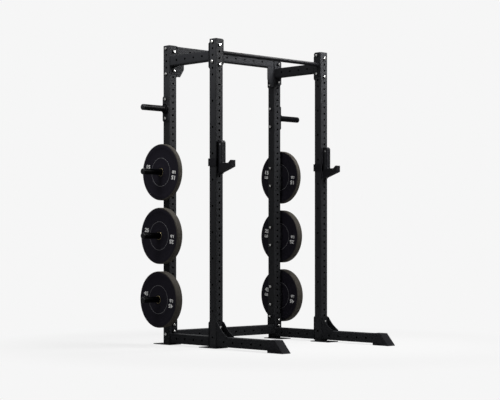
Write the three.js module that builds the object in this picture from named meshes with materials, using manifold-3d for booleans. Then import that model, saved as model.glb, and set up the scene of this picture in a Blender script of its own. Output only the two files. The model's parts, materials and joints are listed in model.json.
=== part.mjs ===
// Half rack with weight storage pegs, bumper plates and bar cups
// Millimetres, +Z up, the front looks towards -Y and the left side lies at -X.
// The origin is on the floor under the middle of the whole object.

import * as THREE from "three";
import { mergeVertices } from "three/addons/utils/BufferGeometryUtils.js";
import Module from "manifold-3d";

const wasm = await Module();
wasm.setup();

// Overall frame, measured between the centre lines of the uprights
const rackHeight = 2398;
const frameWidth = 1177.4;
const frameDepth = 552.1;

// Square steel tube used for every structural member
const tubeSide = 76.2;
const tubeWall = 3.05;
const tubeCorner = 6;

// Hole grid of the uprights: rows on the front and rear faces, and rows between them on the sides
const holePitch = 50.8;
const lowestRowRise = 19.4;
const topMargin = 40;
const sideRowsAtTop = 6;
const sideRowStep = 4;

// Holes in the sides of the beams, base sections and legs, and in the fronts of the crossmembers
const beamHolePitch = 101.6;
const beamHoleCount = 4;
const crossHoleCount = 9;

// Bolts with hexagon heads and nuts
const boltDiameter = 15.9;
const hexRim = 3.95;
const headHeight = 10;
const nutHeight = 14;

// Rows spanned by the two bolts of each kind of member
const beamBoltRows = 3;
const baseBoltRows = 1;
const barBoltRows = 3;
const crossBoltRows = 4;
const lowCrossBoltRows = 2;

// Bolted end flanges
const flangeThickness = 6.35;
const flangeOverhang = 3;
const flangeChamfer = 10;
const baseFlangeRise = 46.2;

// Floor plates under the uprights
const floorPlateThickness = 6;
const floorPlateSide = 49;
const floorPlateBack = 122;

// Plastic caps in the tops of the uprights
const capThickness = 2;
const capPlug = 12;

// Base tubes and the front legs
const baseClearance = 16.4;
const legReach = 680;
const legFirstHoleGap = 87.9;
const legHoleCount = 5;
const legGussetReach = 120.6;
const legGussetNose = 6;
const legGussetHollow = 9;

// Rubber foot caps on the front legs
const footOverlap = 73;
const footTopPast = 9;
const footPast = 91;
const footWall = 3.9;
const footNose = 5;

// Rear crossmembers and the gussets of the upper one
const crossTopInset = 4.9;
const lowCrossDrop = 9.6;
const crossGussetReach = 78.5;
const crossGussetToe = 37;
const crossGussetShoulder = 67;

// Pull-up bar
const pullUpDiameter = 32;

// Storage pegs
const pegCount = 4;
const pegLowestSideRow = 4;
const pegBoltRows = 3;
const pegReach = 250;
const pegDiameter = 48.3;
const pegWall = 3.7;
const collarRim = 15.85;
const collarThickness = 13.5;
const pegCapHead = 12;
const pegCapRound = 8;
const pegCapPlug = 20;

// Bumper plates, named by their marked weight in pounds, from the top peg down
const plateDiameter = 450;
const plateSpacing = 40;
const hubClearance = 1.25;
const hubRim = 6.6;
const plateSizes = [
  { weight: 15, thickness: 40 },
  { weight: 25, thickness: 57 },
  { weight: 45, thickness: 66 },
];

// Bar cups that hang on the front uprights
const cupUpperRow = 15;
const cupPinRows = 4;
const cupAbovePins = 24;
const cupBelowPins = 30;
const cupBackThickness = 6.35;
const cupBackCorner = 18;
const cupLegDepth = 50;
const cupLegRound = 16;
const cupFloorDrop = 153;
const cupCradle = 68;
const cupLipRun = 24;
const cupLipTop = 18;
const cupLipHeight = 20.5;
const cupNoseDepth = 31.5;
const cupHeelReach = 25;
const cupHeelRise = 5;
const cupWeb = 11.4;
const cupLiner = 14;
const linerProud = 3;
const saddleHeight = 60;
const saddleDrop = 144;
const saddleThickness = 5;
const saddlePastRear = 8;
const cupPinReach = 48;
const cupBoltDiameter = 10;
const cupBoltRim = 3.5;
const cupBoltHeadHeight = 6;
const cupBoltReach = 28;
const cupBoltTopDrop = 10;
const cupBoltLowReach = 72;
const cupBoltLowDrop = 30;

// Clearances and the overrun of cuts
const seatGap = 0.3;
const boltClearance = 0.4;
const cutOverrun = 2;

// Facets of round shapes
const openHoleSides = 4;
const boltSides = 6;
const postSides = 12;
const plateSides = 24;
const barSides = 12;
const cornerSteps = 1;
const arcSteps = 4;
const mergeDistance = 1e-4;

// Sizes that follow from the driving ones
const half = 0.5;
const tubeHalf = tubeSide * half;
const baseMiddle = baseClearance + tubeHalf;
const baseTop = baseClearance + tubeSide;
const lowestRow = baseTop + lowestRowRise;
const rowCount = 1 + Math.floor((rackHeight - topMargin - lowestRow) / holePitch);
const footReach = legReach + footPast;
const rearReach = Math.max(plateDiameter * half, tubeHalf + floorPlateBack);
const totalLength = footReach + frameDepth + rearReach;
const frontY = footReach - totalLength * half;
const rearY = frontY + frameDepth;
const holeDiameter = boltDiameter + 2 * boltClearance;
const hexRadius = (boltDiameter * half + hexRim) / Math.cos(Math.PI / boltSides);
const pegStepRows = Math.ceil((plateDiameter + plateSpacing) / holePitch);
const pegFace = seatGap + flangeThickness + collarThickness;
const pegRadius = pegDiameter * half;
const pegBore = pegRadius - pegWall;
const hubBore = pegRadius + hubClearance;
const hubRadius = hubBore + hubRim;
const plateDrop = hubClearance - seatGap;

// Height of a front-face row, counted down from the top row
function rowFromTop(count) {
  return lowestRow + holePitch * (rowCount - 1 - count);
}

// Height of a front-face row, counted up from the lowest row
function rowFromBottom(count) {
  return lowestRow + holePitch * count;
}

// Height of a side-face row, half a pitch off the front rows, counted down from the top
function sideFromTop(count) {
  return lowestRow + holePitch * (rowCount - half - count);
}

// Height of a side-face row, counted up from the lowest one
function sideFromBottom(count) {
  return lowestRow + holePitch * (count - half);
}

// Materials
function finish(color, roughness, metalness) {
  return new THREE.MeshStandardMaterial({ color, roughness, metalness });
}
const blackPowderCoat = finish(0x2b2c2f, 0.55, 0.3);
const blackPlastic = finish(0x1a1a1c, 0.5, 0);
const footRubber = finish(0x2a2b30, 0.8, 0);
const satinSteel = finish(0x45464a, 0.4, 0.6);
const bumperRubber = finish(0x1d1c22, 0.85, 0);
const hubSteel = finish(0x8d7a4f, 0.35, 0.9);
const linerPlastic = finish(0x35353d, 0.6, 0);

// Turns a closed geometry into a solid: only positions are kept, and empty triangles are dropped
function solidFrom(geometry) {
  const bare = new THREE.BufferGeometry();
  bare.setAttribute("position", geometry.getAttribute("position").clone());
  if (geometry.index) {
    bare.setIndex(geometry.index.clone());
  }
  const merged = mergeVertices(bare, mergeDistance);
  const corners = [];
  const index = merged.index.array;
  for (let i = 0; i < index.length; i += 3) {
    const [a, b, c] = [index[i], index[i + 1], index[i + 2]];
    if (a !== b && b !== c && c !== a) {
      corners.push(a, b, c);
    }
  }
  return new wasm.Manifold(new wasm.Mesh({
    numProp: 3,
    vertProperties: new Float32Array(merged.getAttribute("position").array),
    triVerts: new Uint32Array(corners),
  }));
}

// Turns a solid back into a flat-shaded geometry
function geometryFrom(solid) {
  const mesh = solid.getMesh();
  const indexed = new THREE.BufferGeometry();
  indexed.setAttribute("position", new THREE.BufferAttribute(new Float32Array(mesh.vertProperties), 3));
  indexed.setIndex(new THREE.BufferAttribute(new Uint32Array(mesh.triVerts), 1));
  const geometry = indexed.toNonIndexed();
  geometry.computeVertexNormals();
  return geometry;
}

// A box between two corners
function block(low, high) {
  const size = [0, 1, 2].map((axis) => high[axis] - low[axis]);
  const geometry = new THREE.BoxGeometry(...size);
  geometry.translate(...[0, 1, 2].map((axis) => (high[axis] + low[axis]) * half));
  return solidFrom(geometry);
}

// A prism with regular sides along X, Y or Z, between two places on that axis
function rod(axis, sides, radius, from, to, center = [0, 0, 0]) {
  const geometry = new THREE.CylinderGeometry(radius, radius, to - from, sides);
  geometry.translate(0, (from + to) * half, 0);
  if (axis === "x") {
    geometry.rotateZ(-Math.PI * half);
  }
  if (axis === "z") {
    geometry.rotateX(Math.PI * half);
  }
  geometry.translate(...center);
  return solidFrom(geometry);
}

// A closed shape of revolution about the X axis, its profile given as [along, radius] pairs
function turned(profile, sides) {
  const points = profile.map(([along, radius]) => new THREE.Vector2(radius, along));
  const geometry = new THREE.LatheGeometry(points, sides);
  geometry.rotateZ(-Math.PI * half);
  return solidFrom(geometry);
}

// Outline of a square with rounded corners
function roundedSquare(side, corner) {
  const edge = side * half - corner;
  const points = [];
  for (let quarter = 0; quarter < 4; quarter += 1) {
    const middle = Math.PI * half * quarter + Math.PI * half * half;
    const [signX, signY] = [Math.sign(Math.cos(middle)), Math.sign(Math.sin(middle))];
    for (let step = 0; step <= cornerSteps; step += 1) {
      const angle = Math.PI * half * (quarter + step / cornerSteps);
      points.push(new THREE.Vector2(
        signX * edge + corner * Math.cos(angle),
        signY * edge + corner * Math.sin(angle),
      ));
    }
  }
  return new THREE.Shape(points);
}

// A square tube that runs along X, Y or Z between two places on that axis
function squareTube(axis, from, to) {
  const length = to - from;
  const outer = new THREE.ExtrudeGeometry(roundedSquare(tubeSide, tubeCorner), {
    depth: length,
    bevelEnabled: false,
  });
  const bore = tubeSide - 2 * tubeWall;
  const inner = new THREE.BoxGeometry(bore, bore, length + 2 * cutOverrun);
  inner.translate(0, 0, length * half);
  for (const geometry of [outer, inner]) {
    geometry.translate(0, 0, from);
    if (axis === "x") {
      geometry.rotateY(Math.PI * half);
    }
    if (axis === "y") {
      geometry.rotateX(-Math.PI * half);
    }
  }
  return solidFrom(outer).subtract(solidFrom(inner));
}

// Cuts straight holes through a member along the given axis
function drilled(solid, axis, centers, sides, diameter = holeDiameter) {
  const reach = tubeSide + cutOverrun;
  let result = solid;
  for (const center of centers) {
    result = result.subtract(rod(axis, sides, diameter * half, -reach, reach, center));
  }
  return result;
}

// An outline in the Y-Z plane, extruded along X between two places; points are [y, z] pairs
function sidePlate(points, from, to) {
  const shape = new THREE.Shape(points.map(([y, z]) => new THREE.Vector2(y, z)));
  const geometry = new THREE.ExtrudeGeometry(shape, { depth: to - from, bevelEnabled: false });
  geometry.rotateX(Math.PI * half);
  geometry.rotateZ(Math.PI * half);
  geometry.translate(from, 0, 0);
  return solidFrom(geometry);
}

// Turns a plate that lies in the Y-Z plane by a quarter, so that it faces the front
function facingFront(solid) {
  return solid.rotate([0, 0, -90]);
}

// Outline of a flange with cut corners
function flangeOutline(wide, bottom, top) {
  const inner = wide - flangeChamfer;
  const [low, high] = [bottom + flangeChamfer, top - flangeChamfer];
  return [
    [-wide, low], [-inner, bottom], [inner, bottom], [wide, low],
    [wide, high], [inner, top], [-inner, top], [-wide, high],
  ];
}

// A flange plate in the Y-Z plane, lying between two places on X
function flangeOnSide(from, to, bottom, top) {
  return sidePlate(flangeOutline(tubeHalf, bottom, top), from, to);
}

// A flange plate in the X-Z plane, lying between two places on Y
function flangeOnFront(from, to, bottom, top) {
  return facingFront(sidePlate(flangeOutline(tubeHalf + flangeOverhang, bottom, top), -to, -from));
}

// Adds several solids to one
function joined(solid, others) {
  return others.reduce((sum, other) => sum.add(other), solid);
}

// A through bolt along X or Y: its head lies past "from" and its nut past "to"
function bolt(axis, from, to, center) {
  const sign = Math.sign(to - from);
  const [headMiddle, headTop] = [from - sign * headHeight * half, from - sign * headHeight];
  const [nutMiddle, nutTop] = [to + sign * nutHeight * half, to + sign * nutHeight];
  const span = (a, b) => [Math.min(a, b), Math.max(a, b)];
  const head = rod(axis, boltSides, hexRadius, ...span(headTop, from), center);
  const shank = rod(axis, boltSides, boltDiameter * half, ...span(headMiddle, nutMiddle), center);
  const nut = rod(axis, boltSides, hexRadius, ...span(to, nutTop), center);
  return head.add(shank).add(nut);
}

// Upright: a tube with its rows of holes, standing on its floor plate
function upright(boltedRows, sideRows, boltedSideRows) {
  const bottom = floorPlateThickness + seatGap;
  const top = rackHeight - capThickness - seatGap;
  const rows = Array.from({ length: rowCount }, (unused, count) => rowFromBottom(count));
  const same = (list, z) => list.some((other) => Math.abs(other - z) < mergeDistance);
  const place = (z) => [0, 0, z];
  let solid = squareTube("z", bottom, top);
  solid = drilled(solid, "y", rows.filter((z) => !same(boltedRows, z)).map(place), openHoleSides);
  solid = drilled(solid, "y", boltedRows.map(place), boltSides);
  solid = drilled(solid, "x", sideRows.filter((z) => !same(boltedSideRows, z)).map(place), openHoleSides);
  return drilled(solid, "x", boltedSideRows.map(place), boltSides);
}

// Heights of the bolts of each member, and of the pins of the bar cups
const beamRows = [rowFromTop(0), rowFromTop(beamBoltRows)];
const baseRows = [rowFromBottom(0), rowFromBottom(baseBoltRows)];
const cupRows = [rowFromTop(cupUpperRow), rowFromTop(cupUpperRow + cupPinRows)];
const barRows = [sideFromTop(0), sideFromTop(barBoltRows)];
const crossRows = [sideFromTop(0), sideFromTop(crossBoltRows)];
const lowCrossRows = [sideFromBottom(0), sideFromBottom(lowCrossBoltRows)];
const baseFlangeTop = baseRows[1] + baseFlangeRise;
const cupTop = cupRows[0] + cupAbovePins;
const cupBottom = cupRows[1] - cupBelowPins;
const cupFloor = cupRows[0] - cupFloorDrop;

// Side rows of the front uprights: close together at the top, then every fourth row
function frontSideRows() {
  const rows = [];
  for (let count = 0; count < sideRowsAtTop; count += 1) {
    rows.push(sideFromTop(count));
  }
  for (let count = sideRowsAtTop + sideRowStep - 1; count <= rowCount; count += sideRowStep) {
    rows.push(sideFromTop(count));
  }
  return rows;
}

// Side rows of the lower bolt of each storage peg, from the lowest peg up
function pegRows() {
  return Array.from({ length: pegCount }, (unused, count) => pegLowestSideRow + count * pegStepRows);
}

// Side rows that carry bolts on the rear uprights
function rearBoltedSideRows() {
  const pegs = pegRows().flatMap((row) => [sideFromBottom(row), sideFromBottom(row + pegBoltRows)]);
  return [...crossRows, ...pegs, ...lowCrossRows];
}

// Side rows of the rear uprights: those between the bolts of the upper crossmember, and the bolted ones
function rearSideRows() {
  const open = Array.from({ length: crossBoltRows - 1 }, (unused, index) => sideFromTop(index + 1));
  return [...open, ...rearBoltedSideRows()];
}

// Evenly spaced places about zero
function spread(count, pitch) {
  return Array.from({ length: count }, (unused, index) => (index - (count - 1) * half) * pitch);
}

// Cap in the top of an upright: a thin plate with a plug that reaches into the tube
function topCap() {
  const bottom = rackHeight - capThickness;
  const plate = new THREE.ExtrudeGeometry(roundedSquare(tubeSide, tubeCorner), {
    depth: capThickness,
    bevelEnabled: false,
  });
  plate.translate(0, 0, bottom);
  const reach = tubeHalf - tubeWall - seatGap;
  const plug = block([-reach, -reach, bottom - capPlug], [reach, reach, bottom + capThickness * half]);
  return solidFrom(plate).add(plug);
}

// Floor plate: it reaches inwards and backwards from its upright
function floorPlate() {
  return block(
    [-tubeHalf, -tubeHalf, 0],
    [tubeHalf + floorPlateSide, tubeHalf + floorPlateBack, floorPlateThickness],
  );
}

// A beam between a front and a rear upright with a flange at each end, centred on the upright pair
function beamBetween(height, bottom, top) {
  const face = frameDepth * half - tubeHalf - seatGap;
  const flange = face - flangeThickness;
  const tube = squareTube("y", -flange - flangeThickness * half, flange + flangeThickness * half);
  const rear = flangeOnFront(flange, face, bottom, top);
  const front = flangeOnFront(-face, -flange, bottom, top);
  return tube.translate([0, 0, height]).add(front).add(rear);
}

// Bolts along Y through one end of a beam, from the outer face of its upright to its own flange
function beamBolts(end, rows) {
  const inner = frameDepth * half - tubeHalf - seatGap - flangeThickness;
  const outer = frameDepth * half + tubeHalf + seatGap;
  return rows.map((row) => bolt("y", end * outer, end * inner, [0, 0, row]));
}

// Top side beam with its bolts
function topBeam() {
  const height = (beamRows[0] + beamRows[1]) * half;
  const edge = holePitch * half;
  const beam = beamBetween(height, beamRows[1] - edge, beamRows[0] + edge);
  const places = spread(beamHoleCount, beamHolePitch).map((y) => [0, y, height]);
  const solid = drilled(beam, "x", places, openHoleSides);
  return joined(solid, [...beamBolts(-1, beamRows), ...beamBolts(1, beamRows)]);
}

// Base section between the uprights: the leg's bolts go through the holes of its front flange
function baseSection() {
  const beam = beamBetween(baseMiddle, baseClearance, baseFlangeTop);
  const places = spread(beamHoleCount, beamHolePitch).map((y) => [0, y, baseMiddle]);
  let solid = drilled(beam, "x", places, openHoleSides);
  const flangeBack = -frameDepth * half + tubeHalf + seatGap + flangeThickness;
  for (const row of baseRows) {
    const [from, to] = [flangeBack - flangeThickness - cutOverrun, flangeBack + cutOverrun];
    solid = solid.subtract(rod("y", boltSides, holeDiameter * half, from, to, [0, 0, row]));
  }
  return joined(solid, beamBolts(1, baseRows));
}

// Outline of a leg gusset, forward from the flange, with a hollow curve as its long edge
function legGussetOutline(flangeFace, bottom, top) {
  const toe = flangeFace - legGussetReach;
  const sunk = bottom - tubeCorner;
  const [startY, startZ] = [toe, bottom + legGussetNose];
  const [endY, endZ] = [flangeFace - legGussetNose, top];
  const points = [[flangeFace, sunk], [toe, sunk]];
  const length = Math.hypot(endY - startY, endZ - startZ);
  const [sagY, sagZ] = [(endZ - startZ) / length, -(endY - startY) / length];
  for (let step = 0; step <= arcSteps; step += 1) {
    const share = step / arcSteps;
    const sag = legGussetHollow * Math.sin(Math.PI * share);
    points.push([
      startY + (endY - startY) * share + sagY * sag,
      startZ + (endZ - startZ) * share + sagZ * sag,
    ]);
  }
  points.push([flangeFace, top]);
  return points;
}

// Front leg: tube, flange, two gussets and the bolts through the upright and the base section
function frontLeg() {
  const back = -tubeHalf - seatGap;
  const face = back - flangeThickness;
  const root = face + flangeThickness * half;
  const tube = squareTube("y", -legReach, root).translate([0, 0, baseMiddle]);
  const outline = legGussetOutline(root, baseTop, baseFlangeTop - flangeChamfer * half);
  const solid = joined(tube, [
    flangeOnFront(face, back, baseClearance, baseFlangeTop),
    sidePlate(outline, -tubeHalf, -tubeHalf + flangeThickness),
    sidePlate(outline, tubeHalf - flangeThickness, tubeHalf),
  ]);
  const firstHole = -tubeHalf - legFirstHoleGap;
  const places = Array.from({ length: legHoleCount }, (unused, index) => (
    [0, firstHole - index * beamHolePitch, baseMiddle]
  ));
  const nutSeat = tubeHalf + 2 * seatGap + flangeThickness;
  const bolts = baseRows.map((row) => bolt("y", face, nutSeat, [0, 0, row]));
  return joined(drilled(solid, "x", places, openHoleSides), bolts);
}

// Foot cap: a rubber wedge with a pocket for the end of the leg
function footCap() {
  const back = -legReach + footOverlap;
  const top = baseTop + footWall;
  const wide = tubeHalf + footWall;
  const wedge = sidePlate([
    [-footReach, 0], [-footReach, footNose], [-legReach - footTopPast, top], [back, top], [back, 0],
  ], -wide, wide);
  const pocket = tubeHalf + seatGap;
  return wedge.subtract(block(
    [-pocket, -legReach - seatGap, baseClearance - seatGap],
    [pocket, back + cutOverrun, baseTop + seatGap],
  ));
}

// A member between the left and right uprights with a flange at each end
function crossMember(height, bottom, top) {
  const face = frameWidth * half - tubeHalf - seatGap;
  const flange = face - flangeThickness;
  const tube = squareTube("x", -flange - flangeThickness * half, flange + flangeThickness * half);
  const right = flangeOnSide(flange, face, bottom, top);
  const left = flangeOnSide(-face, -flange, bottom, top);
  return tube.translate([0, 0, height]).add(left).add(right);
}

// Drills a crossmember's row of holes through its front and back
function crossDrilled(solid, height) {
  const places = spread(crossHoleCount, beamHolePitch).map((x) => [x, 0, height]);
  return drilled(solid, "y", places, openHoleSides);
}

// Bolts along X through both uprights of a pair, heads on the outer faces
function crossBolts(rows) {
  const inner = frameWidth * half - tubeHalf - seatGap - flangeThickness;
  const outer = frameWidth * half + tubeHalf + seatGap;
  return rows.flatMap((row) => [
    bolt("x", -outer, -inner, [0, 0, row]),
    bolt("x", outer, inner, [0, 0, row]),
  ]);
}

// The gusset under one end of the upper crossmember, flush with its front. Side is -1 on the left, 1 on the right
function crossGusset(side, bottom, gussetTop) {
  const face = frameWidth * half - tubeHalf;
  const root = face - seatGap - flangeThickness * half;
  const toe = bottom + flangeChamfer * half;
  const outline = [
    [root, toe], [root, gussetTop], [face - crossGussetReach, gussetTop],
    [face - crossGussetReach, bottom + crossGussetShoulder], [face - crossGussetToe, toe],
  ];
  const shape = new THREE.Shape(outline.map(([x, z]) => new THREE.Vector2(side * x, z)));
  const plate = new THREE.ExtrudeGeometry(shape, { depth: flangeThickness, bevelEnabled: false });
  plate.rotateX(Math.PI * half);
  plate.translate(0, flangeThickness - tubeHalf, 0);
  return solidFrom(plate);
}

// Upper rear crossmember with a gusset under each end
function topCross() {
  const top = crossRows[0] + holePitch * half;
  const bottom = crossRows[1] - holePitch * half;
  const height = top - crossTopInset - tubeHalf;
  const solid = crossDrilled(crossMember(height, bottom, top), height);
  const gussetTop = height - tubeHalf + tubeCorner;
  return joined(solid, [
    crossGusset(-1, bottom, gussetTop),
    crossGusset(1, bottom, gussetTop),
    ...crossBolts(crossRows),
  ]);
}

// Lower rear crossmember: its lower bolts end inside the tube
function bottomCross() {
  const height = lowCrossRows[0] - lowCrossDrop;
  const member = crossMember(height, height - tubeHalf, lowCrossRows[1] + holePitch * half);
  return joined(crossDrilled(member, height), crossBolts(lowCrossRows));
}

// Pull-up bar: a round bar between two flanges
function pullUpBar() {
  const height = (barRows[0] + barRows[1]) * half;
  const edge = holePitch * half;
  const [bottom, top] = [barRows[1] - edge, barRows[0] + edge];
  const face = frameWidth * half - tubeHalf - seatGap;
  const flange = face - flangeThickness;
  const end = flange + flangeThickness * half;
  const bar = rod("x", barSides, pullUpDiameter * half, -end, end, [0, 0, height]);
  const flanges = [flangeOnSide(-face, -flange, bottom, top), flangeOnSide(flange, face, bottom, top)];
  return joined(bar, [...flanges, ...crossBolts(barRows)]);
}

// Storage peg that points to -X, about the middle of its two bolts
function storagePeg() {
  const span = pegBoltRows * holePitch * half;
  const reach = span + holePitch * half;
  const back = -tubeHalf - seatGap;
  const face = back - flangeThickness;
  const root = face + flangeThickness * half;
  const collar = face - collarThickness;
  const collarRadius = pegRadius + collarRim;
  const end = -tubeHalf - pegReach + pegCapHead + seatGap;
  const post = turned([
    [end, pegBore], [end, pegRadius], [collar, pegRadius], [collar, collarRadius],
    [root, collarRadius], [root, 0], [collar, 0], [collar, pegBore], [end, pegBore],
  ], postSides);
  const bolts = [-span, span].map((row) => bolt("x", face, tubeHalf + seatGap, [0, 0, row]));
  return joined(post, [flangeOnSide(face, back, -reach, reach), ...bolts]);
}

// End cap of a storage peg: a rounded head on a plug inside the tube
function pegCap() {
  const tip = -tubeHalf - pegReach;
  const seat = tip + pegCapHead;
  const plug = pegBore - seatGap;
  const profile = [[tip, 0]];
  for (let step = 0; step <= cornerSteps; step += 1) {
    const angle = Math.PI * half * step / cornerSteps;
    profile.push([
      tip + pegCapRound * (1 - Math.cos(angle)),
      pegRadius - pegCapRound * (1 - Math.sin(angle)),
    ]);
  }
  profile.push([seat, pegRadius], [seat, plug], [seat + pegCapPlug, plug], [seat + pegCapPlug, 0]);
  return turned(profile, postSides);
}

// A ring of a bumper plate, seated on the collar of its peg
function plateRing(thickness, inner, outer, ringSides) {
  const near = -tubeHalf - pegFace - seatGap;
  const far = near - thickness;
  return turned([[far, inner], [far, outer], [near, outer], [near, inner], [far, inner]], ringSides);
}

// Side outline of a bar cup's body, set back by "inset" where the bar may touch
function cupOutline(inset, back) {
  const top = cupTop - inset;
  const floor = cupFloor - inset;
  const leg = -tubeHalf - cupLegDepth + inset;
  const lipFoot = -tubeHalf - cupLegDepth - cupCradle - inset;
  const lipTop = floor + cupLipHeight;
  const nose = lipFoot - cupLipRun - cupLipTop + inset;
  const points = [[back, cupBottom], [back, top]];
  for (let step = 0; step <= arcSteps; step += 1) {
    const angle = Math.PI * half * step / arcSteps;
    points.push([
      leg + cupLegRound * (1 - Math.sin(angle)),
      top - cupLegRound * (1 - Math.cos(angle)),
    ]);
  }
  points.push([leg, floor], [lipFoot, floor], [lipFoot - cupLipRun, lipTop], [nose, lipTop]);
  points.push([nose, cupFloor - cupNoseDepth], [-tubeHalf - cupHeelReach, cupBottom + cupHeelRise]);
  return points.reverse();
}

// Where the two bolts of a cup go through its body, as [y, z]
function cupBoltPlaces() {
  return [
    [-tubeHalf - cupBoltReach, cupRows[0] - cupBoltTopDrop],
    [-tubeHalf - cupBoltLowReach, cupFloor - cupBoltLowDrop],
  ];
}

// Back plate of a cup with rounded upper corners
function cupBackPlate() {
  const round = cupBackCorner;
  const points = [[-tubeHalf, cupBottom], [tubeHalf, cupBottom]];
  for (let step = 0; step <= arcSteps; step += 1) {
    const angle = Math.PI * half * step / arcSteps;
    points.push([tubeHalf - round * (1 - Math.cos(angle)), cupTop - round * (1 - Math.sin(angle))]);
  }
  for (let step = 0; step <= arcSteps; step += 1) {
    const angle = Math.PI * half * (1 + step / arcSteps);
    points.push([-tubeHalf + round * (1 + Math.cos(angle)), cupTop - round * (1 - Math.sin(angle))]);
  }
  const near = tubeHalf + seatGap;
  return facingFront(sidePlate(points, near, near + cupBackThickness));
}

// Steel of a cup: back plate, middle web, saddle round the upright, two pins and the body bolts
function cupSteel() {
  const back = -tubeHalf - seatGap;
  const face = back - cupBackThickness;
  const root = face + cupBackThickness * half;
  const web = sidePlate(cupOutline(linerProud, root), -cupWeb * half, cupWeb * half);
  const saddleTop = cupRows[0] - saddleDrop + saddleHeight * half;
  const saddleBottom = saddleTop - saddleHeight;
  const inner = tubeHalf + seatGap;
  const outer = inner + saddleThickness;
  const rear = tubeHalf + saddlePastRear;
  const saddle = [
    block([-outer, face, saddleBottom], [outer, back, saddleTop]),
    block([-outer, face, saddleBottom], [-inner, rear, saddleTop]),
    block([inner, face, saddleBottom], [outer, rear, saddleTop]),
  ];
  const pins = cupRows.map((row) => (
    rod("y", boltSides, boltDiameter * half, root, back + cupPinReach, [0, 0, row])
  ));
  const side = cupWeb * half + seatGap + cupLiner + seatGap;
  const headMiddle = side + cupBoltHeadHeight * half;
  const headEnd = side + cupBoltHeadHeight;
  const headRadius = (cupBoltDiameter * half + cupBoltRim) / Math.cos(Math.PI / boltSides);
  const bolts = cupBoltPlaces().flatMap(([y, z]) => [
    rod("x", boltSides, cupBoltDiameter * half, -headMiddle, headMiddle, [0, y, z]),
    rod("x", boltSides, headRadius, -headEnd, -side, [0, y, z]),
    rod("x", boltSides, headRadius, side, headEnd, [0, y, z]),
  ]);
  return joined(cupBackPlate(), [web, ...saddle, ...pins, ...bolts]);
}

// Plastic liner on one side of a cup's web
function cupLinerPlate(side) {
  const near = cupWeb * half + seatGap;
  const far = near + cupLiner;
  const back = -tubeHalf - seatGap - cupBackThickness - seatGap;
  const [from, to] = side < 0 ? [-far, -near] : [near, far];
  const solid = sidePlate(cupOutline(0, back), from, to);
  const places = cupBoltPlaces().map(([y, z]) => [0, y, z]);
  return drilled(solid, "x", places, boltSides, cupBoltDiameter + 2 * seatGap);
}

// The scene: every piece is one named mesh
const halfRack = new THREE.Group();

function addPiece(name, geometry, material, x, y, z = 0, turn = 0) {
  const mesh = new THREE.Mesh(geometry, material);
  mesh.name = name;
  mesh.position.set(x, y, z);
  mesh.rotation.z = turn;
  halfRack.add(mesh);
}

const geometries = {
  uprightFront: geometryFrom(upright([...beamRows, ...cupRows, ...baseRows], frontSideRows(), barRows)),
  uprightRear: geometryFrom(upright([...beamRows, ...baseRows], rearSideRows(), rearBoltedSideRows())),
  topCap: geometryFrom(topCap()),
  floorPlate: geometryFrom(floorPlate()),
  topBeam: geometryFrom(topBeam()),
  baseSection: geometryFrom(baseSection()),
  frontLeg: geometryFrom(frontLeg()),
  footCap: geometryFrom(footCap()),
  storagePeg: geometryFrom(storagePeg()),
  pegCap: geometryFrom(pegCap()),
  cupSteel: geometryFrom(cupSteel()),
  linerLeft: geometryFrom(cupLinerPlate(-1)),
  linerRight: geometryFrom(cupLinerPlate(1)),
};

const sides = [
  { name: "left", x: -frameWidth * half, turn: 0 },
  { name: "right", x: frameWidth * half, turn: Math.PI },
];

for (const { name, x, turn } of sides) {
  for (const [end, y] of [["front", frontY], ["rear", rearY]]) {
    const tube = end === "front" ? geometries.uprightFront : geometries.uprightRear;
    addPiece(`upright_${end}_${name}`, tube, blackPowderCoat, x, y);
    addPiece(`top_cap_${end}_${name}`, geometries.topCap, blackPlastic, x, y);
    addPiece(`floor_plate_${end}_${name}`, geometries.floorPlate, blackPowderCoat, x, y, 0, turn);
  }
  const middleY = (frontY + rearY) * half;
  addPiece(`top_beam_${name}`, geometries.topBeam, blackPowderCoat, x, middleY);
  addPiece(`base_section_${name}`, geometries.baseSection, blackPowderCoat, x, middleY);
  addPiece(`front_leg_${name}`, geometries.frontLeg, blackPowderCoat, x, frontY);
  addPiece(`foot_cap_${name}`, geometries.footCap, footRubber, x, frontY);
  addPiece(`bar_cup_${name}`, geometries.cupSteel, blackPowderCoat, x, frontY);
  const [linerOuter, linerInner] = turn
    ? [geometries.linerRight, geometries.linerLeft]
    : [geometries.linerLeft, geometries.linerRight];
  addPiece(`bar_cup_${name}_liner_outer`, linerOuter, linerPlastic, x, frontY);
  addPiece(`bar_cup_${name}_liner_inner`, linerInner, linerPlastic, x, frontY);
  const pegHeights = pegRows().map((row) => sideFromBottom(row) + pegBoltRows * holePitch * half).reverse();
  pegHeights.forEach((z, index) => {
    const number = index + 1;
    addPiece(`storage_peg_${name}_${number}`, geometries.storagePeg, satinSteel, x, rearY, z, turn);
    addPiece(`peg_cap_${name}_${number}`, geometries.pegCap, blackPlastic, x, rearY, z, turn);
  });
  plateSizes.forEach(({ weight, thickness }, index) => {
    const z = pegHeights[index + 1] - plateDrop;
    const disc = geometryFrom(plateRing(thickness, hubRadius, plateDiameter * half, plateSides));
    const hub = geometryFrom(plateRing(thickness, hubBore, hubRadius - 2 * seatGap, postSides));
    addPiece(`bumper_plate_${weight}_${name}`, disc, bumperRubber, x, rearY, z, turn);
    addPiece(`plate_hub_${weight}_${name}`, hub, hubSteel, x, rearY, z, turn);
  });
}

addPiece("cross_member_top", geometryFrom(topCross()), blackPowderCoat, 0, rearY);
addPiece("cross_member_bottom", geometryFrom(bottomCross()), blackPowderCoat, 0, rearY);
addPiece("pull_up_bar", geometryFrom(pullUpBar()), blackPowderCoat, 0, frontY);

export default halfRack;
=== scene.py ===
# %% [markdown]
# # A half rack in Blender
# A half rack is a bolted frame of square steel tube for lifting a barbell. This lesson builds its looks round
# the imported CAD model. Each CAD solid stays in place for the physics, and a finer piece that rides on the
# same body is shown instead of it. Lengths are worked out in millimetres and turned into metres when a mesh
# is made.

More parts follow.
